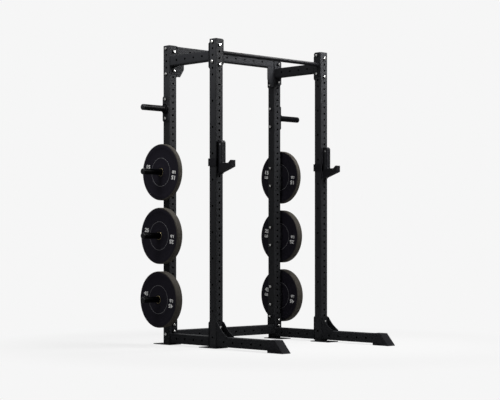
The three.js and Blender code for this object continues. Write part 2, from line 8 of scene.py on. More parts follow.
import json
import math

import bmesh
import bpy
import numpy as np
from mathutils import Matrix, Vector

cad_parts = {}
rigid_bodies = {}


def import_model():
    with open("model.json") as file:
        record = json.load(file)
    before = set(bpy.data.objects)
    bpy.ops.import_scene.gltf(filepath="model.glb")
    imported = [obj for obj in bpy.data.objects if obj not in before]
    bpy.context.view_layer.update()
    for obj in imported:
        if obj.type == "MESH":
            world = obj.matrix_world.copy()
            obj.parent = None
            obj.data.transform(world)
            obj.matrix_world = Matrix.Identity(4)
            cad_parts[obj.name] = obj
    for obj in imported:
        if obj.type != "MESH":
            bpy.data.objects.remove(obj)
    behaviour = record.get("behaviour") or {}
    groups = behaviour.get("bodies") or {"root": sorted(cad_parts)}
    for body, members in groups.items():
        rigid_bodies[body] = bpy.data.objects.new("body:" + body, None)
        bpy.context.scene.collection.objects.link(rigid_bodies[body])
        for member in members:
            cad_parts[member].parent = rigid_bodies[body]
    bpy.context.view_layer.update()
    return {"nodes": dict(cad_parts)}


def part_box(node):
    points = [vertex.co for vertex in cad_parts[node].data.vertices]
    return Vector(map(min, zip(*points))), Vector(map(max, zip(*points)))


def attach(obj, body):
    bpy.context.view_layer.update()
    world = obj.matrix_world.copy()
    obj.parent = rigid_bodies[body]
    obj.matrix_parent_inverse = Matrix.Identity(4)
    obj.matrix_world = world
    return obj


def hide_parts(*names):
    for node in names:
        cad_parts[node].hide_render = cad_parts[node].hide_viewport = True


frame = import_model()
MM = 0.001


# %% Read the driving sizes from the frame
def limits(node):
    """Lowest and highest corner of a CAD solid, in millimetres."""
    low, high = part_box(node)
    return np.array(low) / MM, np.array(high) / MM


def middle(node):
    """Middle of a CAD solid's box, in millimetres."""
    low, high = limits(node)
    return (low + high) / 2


TUBE, CORNER, WALL = 76.2, 6.0, 3.05
HALF = TUBE / 2
PITCH, HOLE_RADIUS, HOLE_RIM = 50.8, 8.35, 0.7
SEAT, FLANGE = 0.3, 6.35
SIDE_X, FRONT_Y = middle("upright_front_right")[:2]
REAR_Y = middle("upright_rear_right")[1]
UPRIGHT_LOW, UPRIGHT_HIGH = (value[2] for value in limits("upright_front_right"))
LOWEST_ROW, ROW_COUNT = 112.0, 45
ROWS = LOWEST_ROW + PITCH * np.arange(ROW_COUNT)
SIDE_ROWS = LOWEST_ROW + PITCH * (np.arange(ROW_COUNT + 1) - 0.5)
SIDES = (("left", -1), ("right", 1))
print("upright pairs stand", round(2 * SIDE_X, 1), "by", round(REAR_Y - FRONT_Y, 1), "mm apart")

# %% [markdown]
# ## The camera
# The camera comes first, because every later choice is checked through it. Its lens, its place in metres and
# its heading were fitted to the edges and hole rows of the four uprights. It looks level, and a lens shift
# frames the rack above the horizon, so that upright edges stay parallel.

# %% Place the camera
IMAGE_WIDTH, IMAGE_HEIGHT = 500, 400
FOCAL_PIXELS, HORIZON_ROW = 1424.54, 243.07
SENSOR_WIDTH, CLIP_END = 36.0, 200.0
CAMERA_PLACE, HEADING = (-8.014, -8.172, 0.8156), math.radians(46.37)


def placed(name, data):
    """A new object of some data, put in the scene."""
    made = bpy.data.objects.new(name, data)
    bpy.context.scene.collection.objects.link(made)
    return made


camera_data = bpy.data.cameras.new("camera")
camera_data.sensor_width = SENSOR_WIDTH
camera_data.lens = FOCAL_PIXELS * SENSOR_WIDTH / IMAGE_WIDTH
camera_data.shift_y = (HORIZON_ROW - IMAGE_HEIGHT / 2) / IMAGE_WIDTH
camera_data.clip_end = CLIP_END
camera = placed("camera", camera_data)
camera.location = CAMERA_PLACE
camera.rotation_euler = (math.pi / 2, 0, HEADING - math.pi / 2)
bpy.context.scene.camera = camera
bpy.context.scene.view_settings.view_transform = "Standard"
print("lens", round(camera_data.lens, 2), "mm, shift", round(camera_data.shift_y, 4))

# %% [markdown]
# ## Shader arithmetic
# A finish is a small formula: some noise, scaled, added to a base value. Wiring each Math node by hand hides
# the formula, so one class wraps a socket and lets ordinary Python arithmetic add the nodes. Its `node`
# method makes any other node from its type, its settings and its inputs.


# %% Wrap sockets for arithmetic
def scaled(color, share):
    """A colour made darker or lighter by a share."""
    return tuple(channel * share for channel in color)


def fill_ramp(ramp, stops):
    """Gives a colour ramp its stops, each a place and a grey level from 0 to 1."""
    while len(ramp.elements) < len(stops):
        ramp.elements.new(1.0)
    for element, (place, level) in zip(ramp.elements, stops):
        element.position = place
        element.color = (level, level, level, 1.0)


class Tone:
    """A shader socket that takes part in sums: 1 - mask * 2 adds the Math nodes that work it out."""

    def __init__(self, tree, socket=None):
        self.tree = tree
        self.socket = socket

    def node(self, kind, settings=None, inputs=None, output=0):
        """Adds a node. Settings are set first, then each input by name or number, to a value or a Tone."""
        made = self.tree.nodes.new(kind)
        for key, value in (settings or {}).items():
            if key == "stops":
                fill_ramp(made.color_ramp, value)
            else:
                setattr(made, key, value)
        for key, value in (inputs or {}).items():
            if isinstance(value, Tone):
                self.tree.links.new(value.socket, made.inputs[key])
            else:
                made.inputs[key].default_value = value
        return Tone(self.tree, made.outputs[output] if len(made.outputs) else None)

    def sum_node(self, operation, first, second):
        """A Math node that works out one operation on two values."""
        return self.node("ShaderNodeMath", {"operation": operation}, {0: first, 1: second})

    def __add__(self, other):
        return self.sum_node("ADD", self, other)

    def __sub__(self, other):
        return self.sum_node("SUBTRACT", self, other)

    def __rsub__(self, other):
        return self.sum_node("SUBTRACT", other, self)

    def __mul__(self, other):
        return self.sum_node("MULTIPLY", self, other)

    __radd__ = __add__
    __rmul__ = __mul__

    def noise(self, scale, detail=2.0):
        """Noise from 0 to 1 at these coordinates, with features of about 1 / scale metres."""
        inputs = {"Vector": self, "Scale": scale, "Detail": detail}
        return self.node("ShaderNodeTexNoise", inputs=inputs, output="Fac")

    def attribute(self, name):
        """A number that every point of the mesh carries."""
        return self.node("ShaderNodeAttribute", {"attribute_name": name}, output="Fac")

    def step(self, start, end):
        """0 while this tone is below start, 1 where it is above end, and a slope between them."""
        stops = [(0.0, 0.0), (start, 0.0), (end, 1.0)]
        return self.node("ShaderNodeValToRGB", {"stops": stops}, {"Fac": self})

    def mix(self, first, second):
        """Goes from the first colour to the second as this tone goes from 0 to 1."""
        first, second = (value if isinstance(value, Tone) else (*value, 1.0) for value in (first, second))
        return self.node("ShaderNodeMix", {"data_type": "RGBA"}, {0: self, 6: first, 7: second}, output=2)

    def shade(self, color, low_share, high_share):
        """Goes from one share of a colour to another as this tone goes from 0 to 1."""
        return self.mix(scaled(color, low_share), scaled(color, high_share))


# %% Start and end a finish
def start_finish(name):
    """A new material, and a Tone of its object coordinates in metres."""
    material = bpy.data.materials.new(name)
    material.use_nodes = True
    material.node_tree.nodes.clear()
    return material, Tone(material.node_tree).node("ShaderNodeTexCoord", output="Object")


def end_finish(material, color, roughness, height, depth, metallic=0.0, specular=0.5):
    """Sends colour, roughness and a height of some depth in millimetres to a Principled shader."""
    bump = {"Height": height, "Distance": depth * MM, "Strength": 1.0}
    shader = color.node("ShaderNodeBsdfPrincipled", inputs={
        "Base Color": color, "Roughness": roughness, "Metallic": metallic, "Specular IOR Level": specular,
        "Normal": color.node("ShaderNodeBump", inputs=bump),
    })
    color.node("ShaderNodeOutputMaterial", inputs={"Surface": shader})
    return material


# %% [markdown]
# ## Finishes
# The frame wears a black textured powder coat: sprayed powder that melts into a fine leathery skin. It could
# be one dark colour, but the skin is what catches the light, so a fine noise gives it height, a middle one
# varies its gloss and a broad one its tone, and a few rubbed specks show where things slid along it.

# %% Powder coat, plastic and rubber
# Bare steel inside the tubes: mill scale, darkened to near-black as painted shade in the hollows.
MILL_SCALE_AND_SHADE = (0.002, 0.002, 0.002)
COAT_GRAIN, COAT_PATCHES, COAT_BROAD, COAT_SPECKS, COAT_DEPTH = 1300.0, 65.0, 4.0, 210.0, 0.12
RUBBED_SPECKS, RUBBED_SHARE, RUBBED_TONE = (0.70, 0.76), 0.35, 2.2
FLOW_LINES, SCUFFS, MOULD_DEPTH = 18.0, 90.0, 0.08
SCUFFED_PLACES, SCUFFED_SHARE, SCUFFED_TONE = (0.62, 0.74), 0.4, 1.8


def powder_coat(name, color, roughness=0.55, specular=0.08):
    """Black coat: leathery grain of about 0.8 mm, patches of gloss about 15 mm wide, and rubbed specks.
    Inside a tube, where the attribute `inside` is 1, the bare steel is near-black: mill scale, darkened
    further as painted shade."""
    material, place = start_finish(name)
    grain, patches = place.noise(COAT_GRAIN, 3.0), place.noise(COAT_PATCHES, 3.0)
    rubbed = place.noise(COAT_SPECKS, 6.0).step(*RUBBED_SPECKS) * RUBBED_SHARE
    tone = rubbed.mix(place.noise(COAT_BROAD).shade(color, 0.85, 1.15), scaled(color, RUBBED_TONE))
    # Inside a tube the tone turns near-black: mill scale made darker as painted shade, so the holes look
    # dark.
    tone = place.attribute("inside").mix(tone, MILL_SCALE_AND_SHADE)
    gloss = roughness - 0.06 + patches * 0.12 + grain * 0.05
    return end_finish(material, tone, gloss, grain + patches * 0.3, COAT_DEPTH, specular=specular)


def moulded(name, color, roughness, grain_scale, specular=0.12):
    """Moulded plastic or rubber: spark-eroded grain, faint flow marks and light scuffs."""
    material, place = start_finish(name)
    grain, flow = place.noise(grain_scale), place.noise(FLOW_LINES, 4.0)
    scuffed = place.noise(SCUFFS, 8.0).step(*SCUFFED_PLACES) * SCUFFED_SHARE
    tone = scuffed.mix(flow.shade(color, 0.82, 1.18), scaled(color, SCUFFED_TONE))
    return end_finish(material, tone, roughness + flow * 0.1 - 0.05, grain, MOULD_DEPTH, specular=specular)


coat = powder_coat("coat_uprights", (0.0205, 0.021, 0.023), specular=0.10)
coat_beams = powder_coat("coat_beams", (0.0155, 0.016, 0.018))
coat_plates = powder_coat("coat_plates", (0.0165, 0.017, 0.019))
coat_cups = powder_coat("coat_cups", (0.0105, 0.0105, 0.0125))
satin_pegs = powder_coat("satin_pegs", (0.002, 0.002, 0.0025), 0.34, 0.05)
# Near-black for bolt heads, washers, nuts and plate hubs: painted shade for the dark reflections on their
# metal.
dark_painted_shade = powder_coat("steel_painted_shade", (0.006, 0.006, 0.007), 0.45, 0.12)
coat_bar = powder_coat("coat_bar", (0.006, 0.006, 0.007), 0.38, 0.05)
cap_plastic = moulded("cap_plastic", (0.010, 0.010, 0.012), 0.45, 900.0, 0.25)
foot_rubber = moulded("foot_rubber", (0.015, 0.015, 0.0175), 0.8, 600.0)
liner_plastic = moulded("liner_plastic", (0.0085, 0.0085, 0.0105), 0.55, 700.0)
number_ink = moulded("number_ink", (0.004, 0.004, 0.004), 0.7, 500.0, 0.1)
liner_inlay = moulded("liner_inlay", (0.022, 0.023, 0.026), 0.55, 700.0)
print("finishes so far:", len(bpy.data.materials))

# %% [markdown]
# The bolts are zinc plated, bright against the coat. Bumper plates are pressed from rubber crumb: near-black
# with bluish specks on the face, and a rim of a lighter warm grey. The rim is told from
# the face by an attribute that the mesh carries, the distance from the axis, so the border follows the plate
# wherever it is.

# %% Zinc, brass, bumper rubber and marks
PLATING_PATCHES, PLATING_GRAIN, PLATING_DEPTH = 160.0, 1500.0, 0.03
CRUMBS, CRUMB_SPECKS, CRUMB_PATCHES, CRUMB_DEPTH = 420.0, 380.0, 12.0, 0.35
PICKED_CRUMBS, PICKED_SHARE, PICKED_TONE = (0.56, 0.66), 0.6, 2.4
LIGHTER_RIM = (0.955, 0.985)
THIN_INK, INK_DEPTH, INK_ROUGHNESS = 260.0, 0.02, 0.6


def plated(name, color, roughness):
    """Plated metal: its gloss varies in soft patches and its tone with them."""
    material, place = start_finish(name)
    patches = place.noise(PLATING_PATCHES, 4.0)
    return end_finish(material, patches.shade(color, 0.8, 1.1), roughness + patches * 0.15,
                      place.noise(PLATING_GRAIN), PLATING_DEPTH, metallic=1.0)


def crumb_rubber(name, face_color, rim_color):
    """Pressed crumb: specks of about 2 mm in two tones, pits between crumbs, and a lighter warm-grey rim."""
    material, place = start_finish(name)
    inputs = {"Vector": place, "Scale": CRUMBS}
    crumbs = place.node("ShaderNodeTexVoronoi", {"feature": "F1"}, inputs, "Distance")
    picked = place.noise(CRUMB_SPECKS, 3.0).step(*PICKED_CRUMBS) * PICKED_SHARE
    patches = place.noise(CRUMB_PATCHES, 3.0)
    rim = place.attribute("from_axis").step(*LIGHTER_RIM)
    tone = rim.mix(picked.shade(face_color, 1.0, PICKED_TONE), patches.shade(rim_color, 0.8, 1.2))
    return end_finish(material, tone, 0.72 + patches * 0.12, crumbs, CRUMB_DEPTH, specular=0.12)


def printed(name, color):
    """Screen-printed ink: even, with thin places in small patches."""
    material, place = start_finish(name)
    thin = place.noise(THIN_INK, 4.0)
    return end_finish(material, thin.shade(color, 1.0, 0.86), INK_ROUGHNESS + thin * 0.1, thin, INK_DEPTH)


zinc = plated("zinc", (0.78, 0.78, 0.76), 0.20)
dull_zinc = plated("dull_zinc", (0.26, 0.26, 0.26), 0.45)
brass = plated("brass", (0.52, 0.43, 0.24), 0.32)
bumper_rubber = crumb_rubber("bumper_rubber", (0.0095, 0.0085, 0.0135), (0.052, 0.047, 0.040))
mark_paint = printed("mark_paint", (0.96, 0.96, 0.95))
ring_paint = printed("ring_paint", (0.24, 0.24, 0.25))
print("finishes:", len(bpy.data.materials))

# %% [markdown]
# ## Mesh helpers
# Every shape here is a list of surfaces, and a surface is an array of points with an array of faces. A
# surface is worked out whole with numpy, as a grid over two parameters, and `make` gathers the surfaces of
# one piece, merges their seams and turns the faces outwards.

# %% Grids, turning and extruding
ORDER = {"x": [2, 0, 1], "y": [0, 2, 1], "z": [0, 1, 2]}


def grid_faces(rows, columns, wrap_rows=False, wrap_columns=False):
    """Point numbers of the faces between neighbours in a grid of points, row after row."""
    last_row, last_column = rows - (not wrap_rows), columns - (not wrap_columns)
    i, j = np.meshgrid(np.arange(last_row), np.arange(last_column), indexing="ij")
    up, right = (i + 1) % rows, (j + 1) % columns
    corners = [i * columns + j, i * columns + right, up * columns + right, up * columns + j]
    return np.stack(corners, -1).reshape(-1, 4)


def laid(shape, axis, offset=(0.0, 0.0, 0.0), sign=1):
    """Lays a shape that was made along Z along another axis, backwards if sign is -1, and moves it."""
    flip = np.array([1, 1, sign])
    return [((points * flip)[:, ORDER[axis]] + np.asarray(offset, float), faces) for points, faces in shape]


def turned(profile, steps):
    """A profile of (along, radius) pairs turned about Z: x = radius cos a, y = radius sin a, z = along."""
    along, radius = np.array(profile, float).T
    angle = np.arange(steps) * 2 * np.pi / steps
    points = np.stack([
        radius[:, None] * np.cos(angle),
        radius[:, None] * np.sin(angle),
        along[:, None] + 0 * angle,
    ], -1)
    return [(points.reshape(-1, 3), grid_faces(len(along), steps, wrap_columns=True))]


def capped(rings):
    """Rings of as many points each, given as (ring, point, axis), joined in turn and closed at both ends."""
    count = rings.shape[1]
    points = rings.reshape(-1, 3)
    ends = np.array([np.arange(count), np.arange(count) + count * (len(rings) - 1)])
    return [(points, grid_faces(len(rings), count, wrap_columns=True)), (points, ends)]


def extruded(outline, low, high):
    """A flat outline carried along Z from low to high, with a face at each end."""
    flat = np.array(outline, float)
    return capped(np.stack([np.column_stack([flat, np.full(len(flat), level)]) for level in (low, high)]))


def arc(center, radius, start, end, steps=8):
    """Points on a circle from one angle to another, in degrees."""
    angle = np.radians(np.linspace(start, end, steps + 1))
    return np.stack([center[0] + radius * np.cos(angle), center[1] + radius * np.sin(angle)], -1)


print("a grid of 3 by 4 points has", len(grid_faces(3, 4)), "faces")


# %% Make a piece
MERGE, BEVEL_SEGMENTS, FLAT_ANGLE, SHARP_ANGLE = 2e-6, 3, 1.0, 35.0


def make(name, shape, body, finish, replaces=(), bevel=0.0, smooth=SHARP_ANGLE):
    """Gathers surfaces into one closed mesh that rides on a body, in place of the CAD solids it replaces."""
    starts = np.cumsum([0] + [len(points) for points, faces in shape[:-1]])
    points = np.vstack([points for points, faces in shape]) * MM
    faces = [row for (unused, group), start in zip(shape, starts) for row in (group + start).tolist()]
    mesh = bpy.data.meshes.new(name)
    mesh.from_pydata(points.tolist(), [], faces)
    work = bmesh.new()
    work.from_mesh(mesh)
    bmesh.ops.remove_doubles(work, verts=work.verts, dist=MERGE)
    bmesh.ops.recalc_face_normals(work, faces=work.faces)
    work.to_mesh(mesh)
    work.free()
    return finished(name, mesh, body, finish, replaces, bevel, smooth)


def finished(name, mesh, body, finish, replaces=(), bevel=0.0, smooth=SHARP_ANGLE):
    """Makes an object of a mesh, rounds its edges by a bevel in millimetres, and puts it on its body."""
    mesh.polygons.foreach_set("use_smooth", np.ones(len(mesh.polygons), bool))
    mesh.materials.clear()
    mesh.materials.append(finish)
    piece = placed(name, mesh)
    if bevel:
        modifier = piece.modifiers.new("bevel", "BEVEL")
        modifier.width = bevel * MM
        modifier.segments = BEVEL_SEGMENTS
        modifier.limit_method = "ANGLE"
        modifier.angle_limit = math.radians(smooth)
        modifier.harden_normals = True
    else:
        mesh.set_sharp_from_angle(angle=math.radians(smooth))
    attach(piece, body)
    if replaces:
        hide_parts(*replaces)
    return piece


def finer_copy(node, name, body, finish, bevel):
    """A merged copy of a CAD solid with flat regions cleaned up and its edges rounded, which replaces it."""
    mesh = frame["nodes"][node].data.copy()
    mesh.name = name
    work = bmesh.new()
    work.from_mesh(mesh)
    bmesh.ops.remove_doubles(work, verts=work.verts, dist=MERGE)
    bmesh.ops.dissolve_limit(work, angle_limit=math.radians(FLAT_ANGLE), verts=work.verts, edges=work.edges)
    work.to_mesh(mesh)
    work.free()
    return finished(name, mesh, body, finish, [node], bevel)


# %% Numbers that the points carry
def points_of(mesh):
    """The points of a mesh, in its own units."""
    points = np.empty(3 * len(mesh.vertices))
    mesh.vertices.foreach_get("co", points)
    return points.reshape(-1, 3)


def stamp(piece, name, values):
    """Stores one number for each point of a piece, for its finish to read."""
    piece.data.attributes.new(name, "FLOAT", "POINT").data.foreach_set("value", values.astype(np.float32))


def stamp_inside(piece, axis):
    """Marks a tube's points below its outer skin: depth = corner radius - distance from the corner's axis."""
    across = np.delete(points_of(piece.data) / MM, "xyz".index(axis), 1)
    middle_line = (across.max(0) + across.min(0)) / 2
    past_flat = np.maximum(np.abs(across - middle_line) - (HALF - CORNER), 0)
    depth = CORNER - np.hypot(past_flat[:, 0], past_flat[:, 1])
    stamp(piece, "inside", depth > HOLE_RIM / 2)


print("helpers ready")

# %% [markdown]
# ## Square tube with round holes
# The tube is rolled steel, 3 mm thick, with rounded corners, and a laser cuts its holes. A box with Boolean
# holes would leave long thin triangles, so the wall is laid out as a sheet instead. Every hole has a square
# cell of the sheet, in which rings of points go from the cell's border to the hole's edge, over a small
# burr-free rim, through the wall and back out on the inner side. Plain stretches and corners share the same
# levels, so all seams meet.

# %% Cells with holes
NORMALS = np.array([[0, -1, 0], [1, 0, 0], [0, 1, 0], [-1, 0, 0]], float)
UP = np.array([0, 0, 1.0])
CELL_STEPS, HOLE_STEPS, CORNER_STEPS = 6, 24, 3
FLAT = HALF - CORNER
COLUMNS = np.linspace(-FLAT, FLAT, CELL_STEPS + 1)


def square_path(turns):
    """Walks round a square of half-width 1: 8 turns go right round, and 0 is the middle of the right side."""
    return np.clip(np.abs(turns % 8 - 4) - 2, -1, 1)


def hole_cells(out, across, centres, low, high):
    """Cells round holes: the points of a ring are (sideways, along, depth into the wall) from the centre."""
    turns = np.arange(HOLE_STEPS) * 8 / HOLE_STEPS
    square = np.stack([square_path(turns) * FLAT, square_path(turns - 2) * PITCH / 2])
    circle = np.stack([np.cos(turns * np.pi / 4), np.sin(turns * np.pi / 4)])
    sideways, along = np.stack([
        square, circle * (HOLE_RADIUS + HOLE_RIM), circle * HOLE_RADIUS, circle * HOLE_RADIUS, square,
    ]).transpose(1, 0, 2)
    depth = np.array([0, 0, HOLE_RIM, WALL, WALL])[:, None]
    places = np.clip(centres[:, None, None] + along, low, high)
    points = (out * (HALF - depth)[None, :, :, None]
              + across * sideways[None, :, :, None] + UP * places[..., None])
    rings = len(depth)
    faces = grid_faces(rings, HOLE_STEPS, wrap_columns=True)
    shifts = np.arange(len(centres)) * rings * HOLE_STEPS
    return points.reshape(-1, 3), (faces[None] + shifts[:, None, None]).reshape(-1, 4)


print("the cell of a hole is", 2 * FLAT, "by", PITCH, "mm")


# %% Whole tubes
LEVEL_MARGIN_SHARE = 0.1


def tube_outline(depth, corner_steps=CORNER_STEPS):
    """The tube's outline set in by depth, flats and quarter circles, as points and outward directions."""
    angle = np.linspace(0, np.pi / 2, corner_steps + 1)[1:-1, None]
    points, outward = [], []
    for side in range(4):
        out, across = NORMALS[side], NORMALS[(side + 1) % 4]
        round_corner = out * np.cos(angle) + across * np.sin(angle)
        points += [out * (HALF - depth) + across * COLUMNS[:, None],
                   (out + across) * FLAT + (CORNER - depth) * round_corner]
        outward += [np.repeat(out[None], len(COLUMNS), 0), round_corner]
    return np.vstack(points), np.vstack(outward)


def square_tube(low, high, rows, anchor):
    """A tube along Z from low to high. rows gives the hole centres of its sides, numbered -Y, +X, +Y, -X."""
    step = PITCH / CELL_STEPS
    first = math.ceil((low - anchor) / step + LEVEL_MARGIN_SHARE)
    last = math.floor((high - anchor) / step - LEVEL_MARGIN_SHARE)
    levels = np.concatenate([[low], anchor + step * np.arange(first, last + 1), [high]])
    heights = UP * levels[:, None, None]
    middles = (levels[1:] + levels[:-1]) / 2
    angle = np.linspace(0, np.pi / 2, CORNER_STEPS + 1)[:, None]
    shape = []
    for side in range(4):
        out, across = NORMALS[side], NORMALS[(side + 1) % 4]
        centres = np.asarray(rows.get(side, []), float)
        covered = (np.abs(middles[:, None] - centres) < PITCH / 2).any(axis=1)
        plain = grid_faces(len(levels), len(COLUMNS)).reshape(-1, CELL_STEPS, 4)[~covered]
        for depth in (0.0, WALL):
            flat = out * (HALF - depth) + across * COLUMNS[None, :, None] + heights
            shape.append((flat.reshape(-1, 3), plain.reshape(-1, 4)))
            bend = (CORNER - depth) * (out * np.cos(angle) + across * np.sin(angle))
            corner = (out + across) * FLAT + bend[None] + heights
            shape.append((corner.reshape(-1, 3), grid_faces(len(levels), CORNER_STEPS + 1)))
        if len(centres):
            shape.append(hole_cells(out, across, centres, low, high))
    outer, inner = tube_outline(0.0)[0], tube_outline(WALL)[0]
    for level in (low, high):
        rim = np.vstack([outer, inner]) + UP * level
        shape.append((rim, grid_faces(2, len(outer), wrap_columns=True)))
    return shape


print("the outline of a tube has", len(tube_outline(0.0)[0]), "points")


# %% [markdown]
# ## Weld beads
# Each tube is welded to its end flange. A weld is a row of small overlapping puddles, so the bead is a
# quarter-round fillet carried round the tube's outline, whose size swells a little once for every puddle.

# %% Weld beads
PUDDLE, SWELL_SHARE, ROOT_SHARE = 3.2, 0.10, -0.2
BEAD_CORNER_STEPS, ROUND_BEAD_STEPS = 6, 48


def bead(path, outward, along, size):
    """A closed fillet: at each place on the path its section is a quarter circle, larger at every puddle."""
    closed = np.vstack([path, path[:1]])
    spread = np.vstack([outward, outward[:1]])
    length = np.concatenate([[0], np.cumsum(np.linalg.norm(np.diff(closed, axis=0), axis=1))])
    count = 2 * round(length[-1] / PUDDLE)
    at = np.arange(count) * length[-1] / count
    places, outs = (np.stack([np.interp(at, length, values[:, k]) for k in range(3)], -1)
                    for values in (closed, spread))
    swell = (1 + SWELL_SHARE * (-1.0) ** np.arange(count))[:, None, None] * size
    angle = np.linspace(0, np.pi / 2, 4)
    share_out = np.append(np.cos(angle), ROOT_SHARE)[None, :, None]
    share_along = np.append(np.sin(angle), ROOT_SHARE)[None, :, None]
    points = places[:, None] + outs[:, None] * share_out * swell + along * share_along * swell
    return [(points.reshape(-1, 3), grid_faces(count, len(angle) + 1, wrap_rows=True, wrap_columns=True))]


def tube_bead(level, toward, size):
    """A bead round a square tube along Z at a level, where the flange lies on the side away from toward."""
    path, outward = tube_outline(0.0, BEAD_CORNER_STEPS)
    return bead(path + UP * level, outward, UP * toward, size)


def round_bead(radius, level, toward, size):
    """A bead round a round bar along Z at a level."""
    turns = np.arange(ROUND_BEAD_STEPS) * 2 * np.pi / ROUND_BEAD_STEPS
    circle = np.stack([np.cos(turns), np.sin(turns), 0 * turns], -1)
    return bead(circle * radius + UP * level, circle, UP * toward, size)


print("a bead round a tube has", len(tube_bead(0, 1, PUDDLE)[0][0]), "points")


# %% [markdown]
# ## Uprights
# The four uprights carry everything. Their front and rear faces have a hole row every 50.8 mm, and their
# sides have rows half a pitch off, only where something bolts on. The rows repeat the CAD ones, now with
# round holes and the 3 mm wall showing in them.

# %% Build the uprights
BEAM_ROWS, BASE_ROWS = ROWS[[-1, -4]], ROWS[[0, 1]]
BAR_ROWS, CROSS_ROWS, LOW_CROSS_ROWS = SIDE_ROWS[[-1, -4]], SIDE_ROWS[[-1, -5]], SIDE_ROWS[[0, 2]]
PEG_HEIGHTS = np.array([middle(f"storage_peg_right_{number}")[2] for number in (1, 2, 3, 4)])
PEG_BOLT_ROWS = 3
PEG_SPAN = PEG_BOLT_ROWS * PITCH / 2
FRONT_TOP_HOLES, REAR_TOP_HOLES, FIRST_SPACED_HOLE, HOLE_SPACING = 6, 5, 9, 4
from_top = SIDE_ROWS[::-1]
front_sides = np.concatenate([from_top[:FRONT_TOP_HOLES], from_top[FIRST_SPACED_HOLE::HOLE_SPACING]])
rear_sides = np.unique(np.round(np.concatenate([
    from_top[:REAR_TOP_HOLES], LOW_CROSS_ROWS, PEG_HEIGHTS - PEG_SPAN, PEG_HEIGHTS + PEG_SPAN,
]), 3))

for end, y, side_rows in (("front", FRONT_Y, front_sides), ("rear", REAR_Y, rear_sides)):
    tube = square_tube(UPRIGHT_LOW, UPRIGHT_HIGH, {0: ROWS, 2: ROWS, 1: side_rows, 3: side_rows}, LOWEST_ROW)
    for name, sign in SIDES:
        node, shape = f"upright_{end}_{name}", laid(tube, "z", (sign * SIDE_X, y, 0))
        piece = make(f"{node}_tube", shape, "frame", coat, [node])
        stamp_inside(piece, "z")
        print(piece.name, len(piece.data.polygons), "faces")

# %% [markdown]
# ## Caps and floor plates
# A moulded cap closes the top of each upright. It is lofted: one rounded square after another, each a little
# smaller and higher, so the edge rounds over and the middle is slightly dished. The floor plates are flat
# steel, so a copy of the CAD solid with its edges rounded is enough.

# %% Build the caps and floor plates
PLUG_CORNER, PLUG_CHAMFER, PLUG_LEAD, CAP_STEPS = 2.0, 1.0, 1.5, 5
CAP_RIM, CAP_DISH, DISH_CORNER, DISH_DROP = 9.0, 11.0, 4.0, 0.5
FLOOR_PLATE_BEVEL = 0.8


def rounded_square(half, corner, height):
    """Outline of a square with quarter-circle corners, at a height."""
    flat = half - corner
    signs = ((1, 1), (-1, 1), (-1, -1), (1, -1))
    outline = np.vstack([arc((sx * flat, sy * flat), corner, 90 * quarter, 90 * (quarter + 1), CAP_STEPS)
                         for quarter, (sx, sy) in enumerate(signs)])
    return np.column_stack([outline, np.full(len(outline), height)])


cap_bottom, cap_top = (value[2] for value in limits("top_cap_front_left"))
plug, seat = HALF - WALL - SEAT, UPRIGHT_HIGH + SEAT
rounded_edge = ((0.6, seat), (0.0, seat + 0.5), (0.0, cap_top - 1.0), (0.4, cap_top - 0.3), (1.2, cap_top))
cap_levels = [
    (plug - PLUG_CHAMFER, PLUG_CORNER, cap_bottom), (plug, PLUG_CORNER, cap_bottom + PLUG_LEAD),
    (plug, PLUG_CORNER, seat), *((HALF - inset, CORNER - inset, height) for inset, height in rounded_edge),
    (HALF - CAP_RIM, DISH_CORNER, cap_top), (HALF - CAP_DISH, DISH_CORNER, cap_top - DISH_DROP),
]
cap = capped(np.stack([rounded_square(*level) for level in cap_levels]))
for name, sign in SIDES:
    for end, y in (("front", FRONT_Y), ("rear", REAR_Y)):
        node, place = f"top_cap_{end}_{name}", (sign * SIDE_X, y, 0)
        make(f"{node}_cap", laid(cap, "z", place), "frame", cap_plastic, [node])
        node = f"floor_plate_{end}_{name}"
        finer_copy(node, f"{node}_steel", "frame", coat_plates, FLOOR_PLATE_BEVEL)
print("caps and floor plates placed")

# %% [markdown]
# ## Bolts
# Hexagon bolts with washers and nuts hold the frame together. Heads, washers and nuts are near-black, painted
# shade for the dark reflections on the sides of zinc bolts, and only the face of each head and the end of
# each thread show the bolts' bright zinc, as painted highlights. One bolt is turned from profiles: the head
# and nut with six steps, so that they come out as hexagons with rounded tips, and the washer and shank with
# many. Copies of its points are laid wherever the frame has a bolt, and each member's bolts become two
# pieces, a dark one and a bright one.

# %% One bolt
SHANK_RADIUS, HEX_RADIUS, WASHER_RADIUS = 7.95, 13.74, 14.6
HEAD_HEIGHT, NUT_HEIGHT, WASHER_HEIGHT, THREAD_END = 10.0, 11.0, 2.4, 20.0
HEX_CHAMFER, HEX_CUT, FACE_HEIGHT, FACE_RADIUS, FACE_EDGE = 1.1, 1.3, 0.4, 11.8, 0.3
WASHER_BREAK, WASHER_ROLL, WASHER_ROLL_WIDTH = 0.4, 0.5, 0.6
THREAD_DEPTH, THREAD_RINGS, THREAD_CHAMFER, SHANK_PLAY, SUNK = 0.6, 12, 2.6, 0.2, 1.0
HEX_SIDES, ROD_STEPS, DISC_STEPS = 6, 16, 24
MEMBER_SLOT = "powder_coat_beams"


def washer(low):
    """A flat ring with broken edges, from a level upwards."""
    high = low + WASHER_HEIGHT
    return turned([
        (low, SHANK_RADIUS), (low, WASHER_RADIUS - WASHER_BREAK), (low + WASHER_BREAK, WASHER_RADIUS),
        (high - WASHER_ROLL, WASHER_RADIUS), (high, WASHER_RADIUS - WASHER_ROLL_WIDTH), (high, SHANK_RADIUS),
        (low, SHANK_RADIUS),
    ], DISC_STEPS)


def hexagon(low, high, top_chamfer, low_chamfer):
    """A hexagon with its tips rounded off at the ends that have a chamfer."""
    low_radius, high_radius = (HEX_RADIUS - HEX_CUT if chamfer else HEX_RADIUS
                               for chamfer in (low_chamfer, top_chamfer))
    return turned([(low, 0), (low, low_radius), (low + low_chamfer, HEX_RADIUS),
                   (high - top_chamfer, HEX_RADIUS), (high, high_radius), (high, 0)], HEX_SIDES)


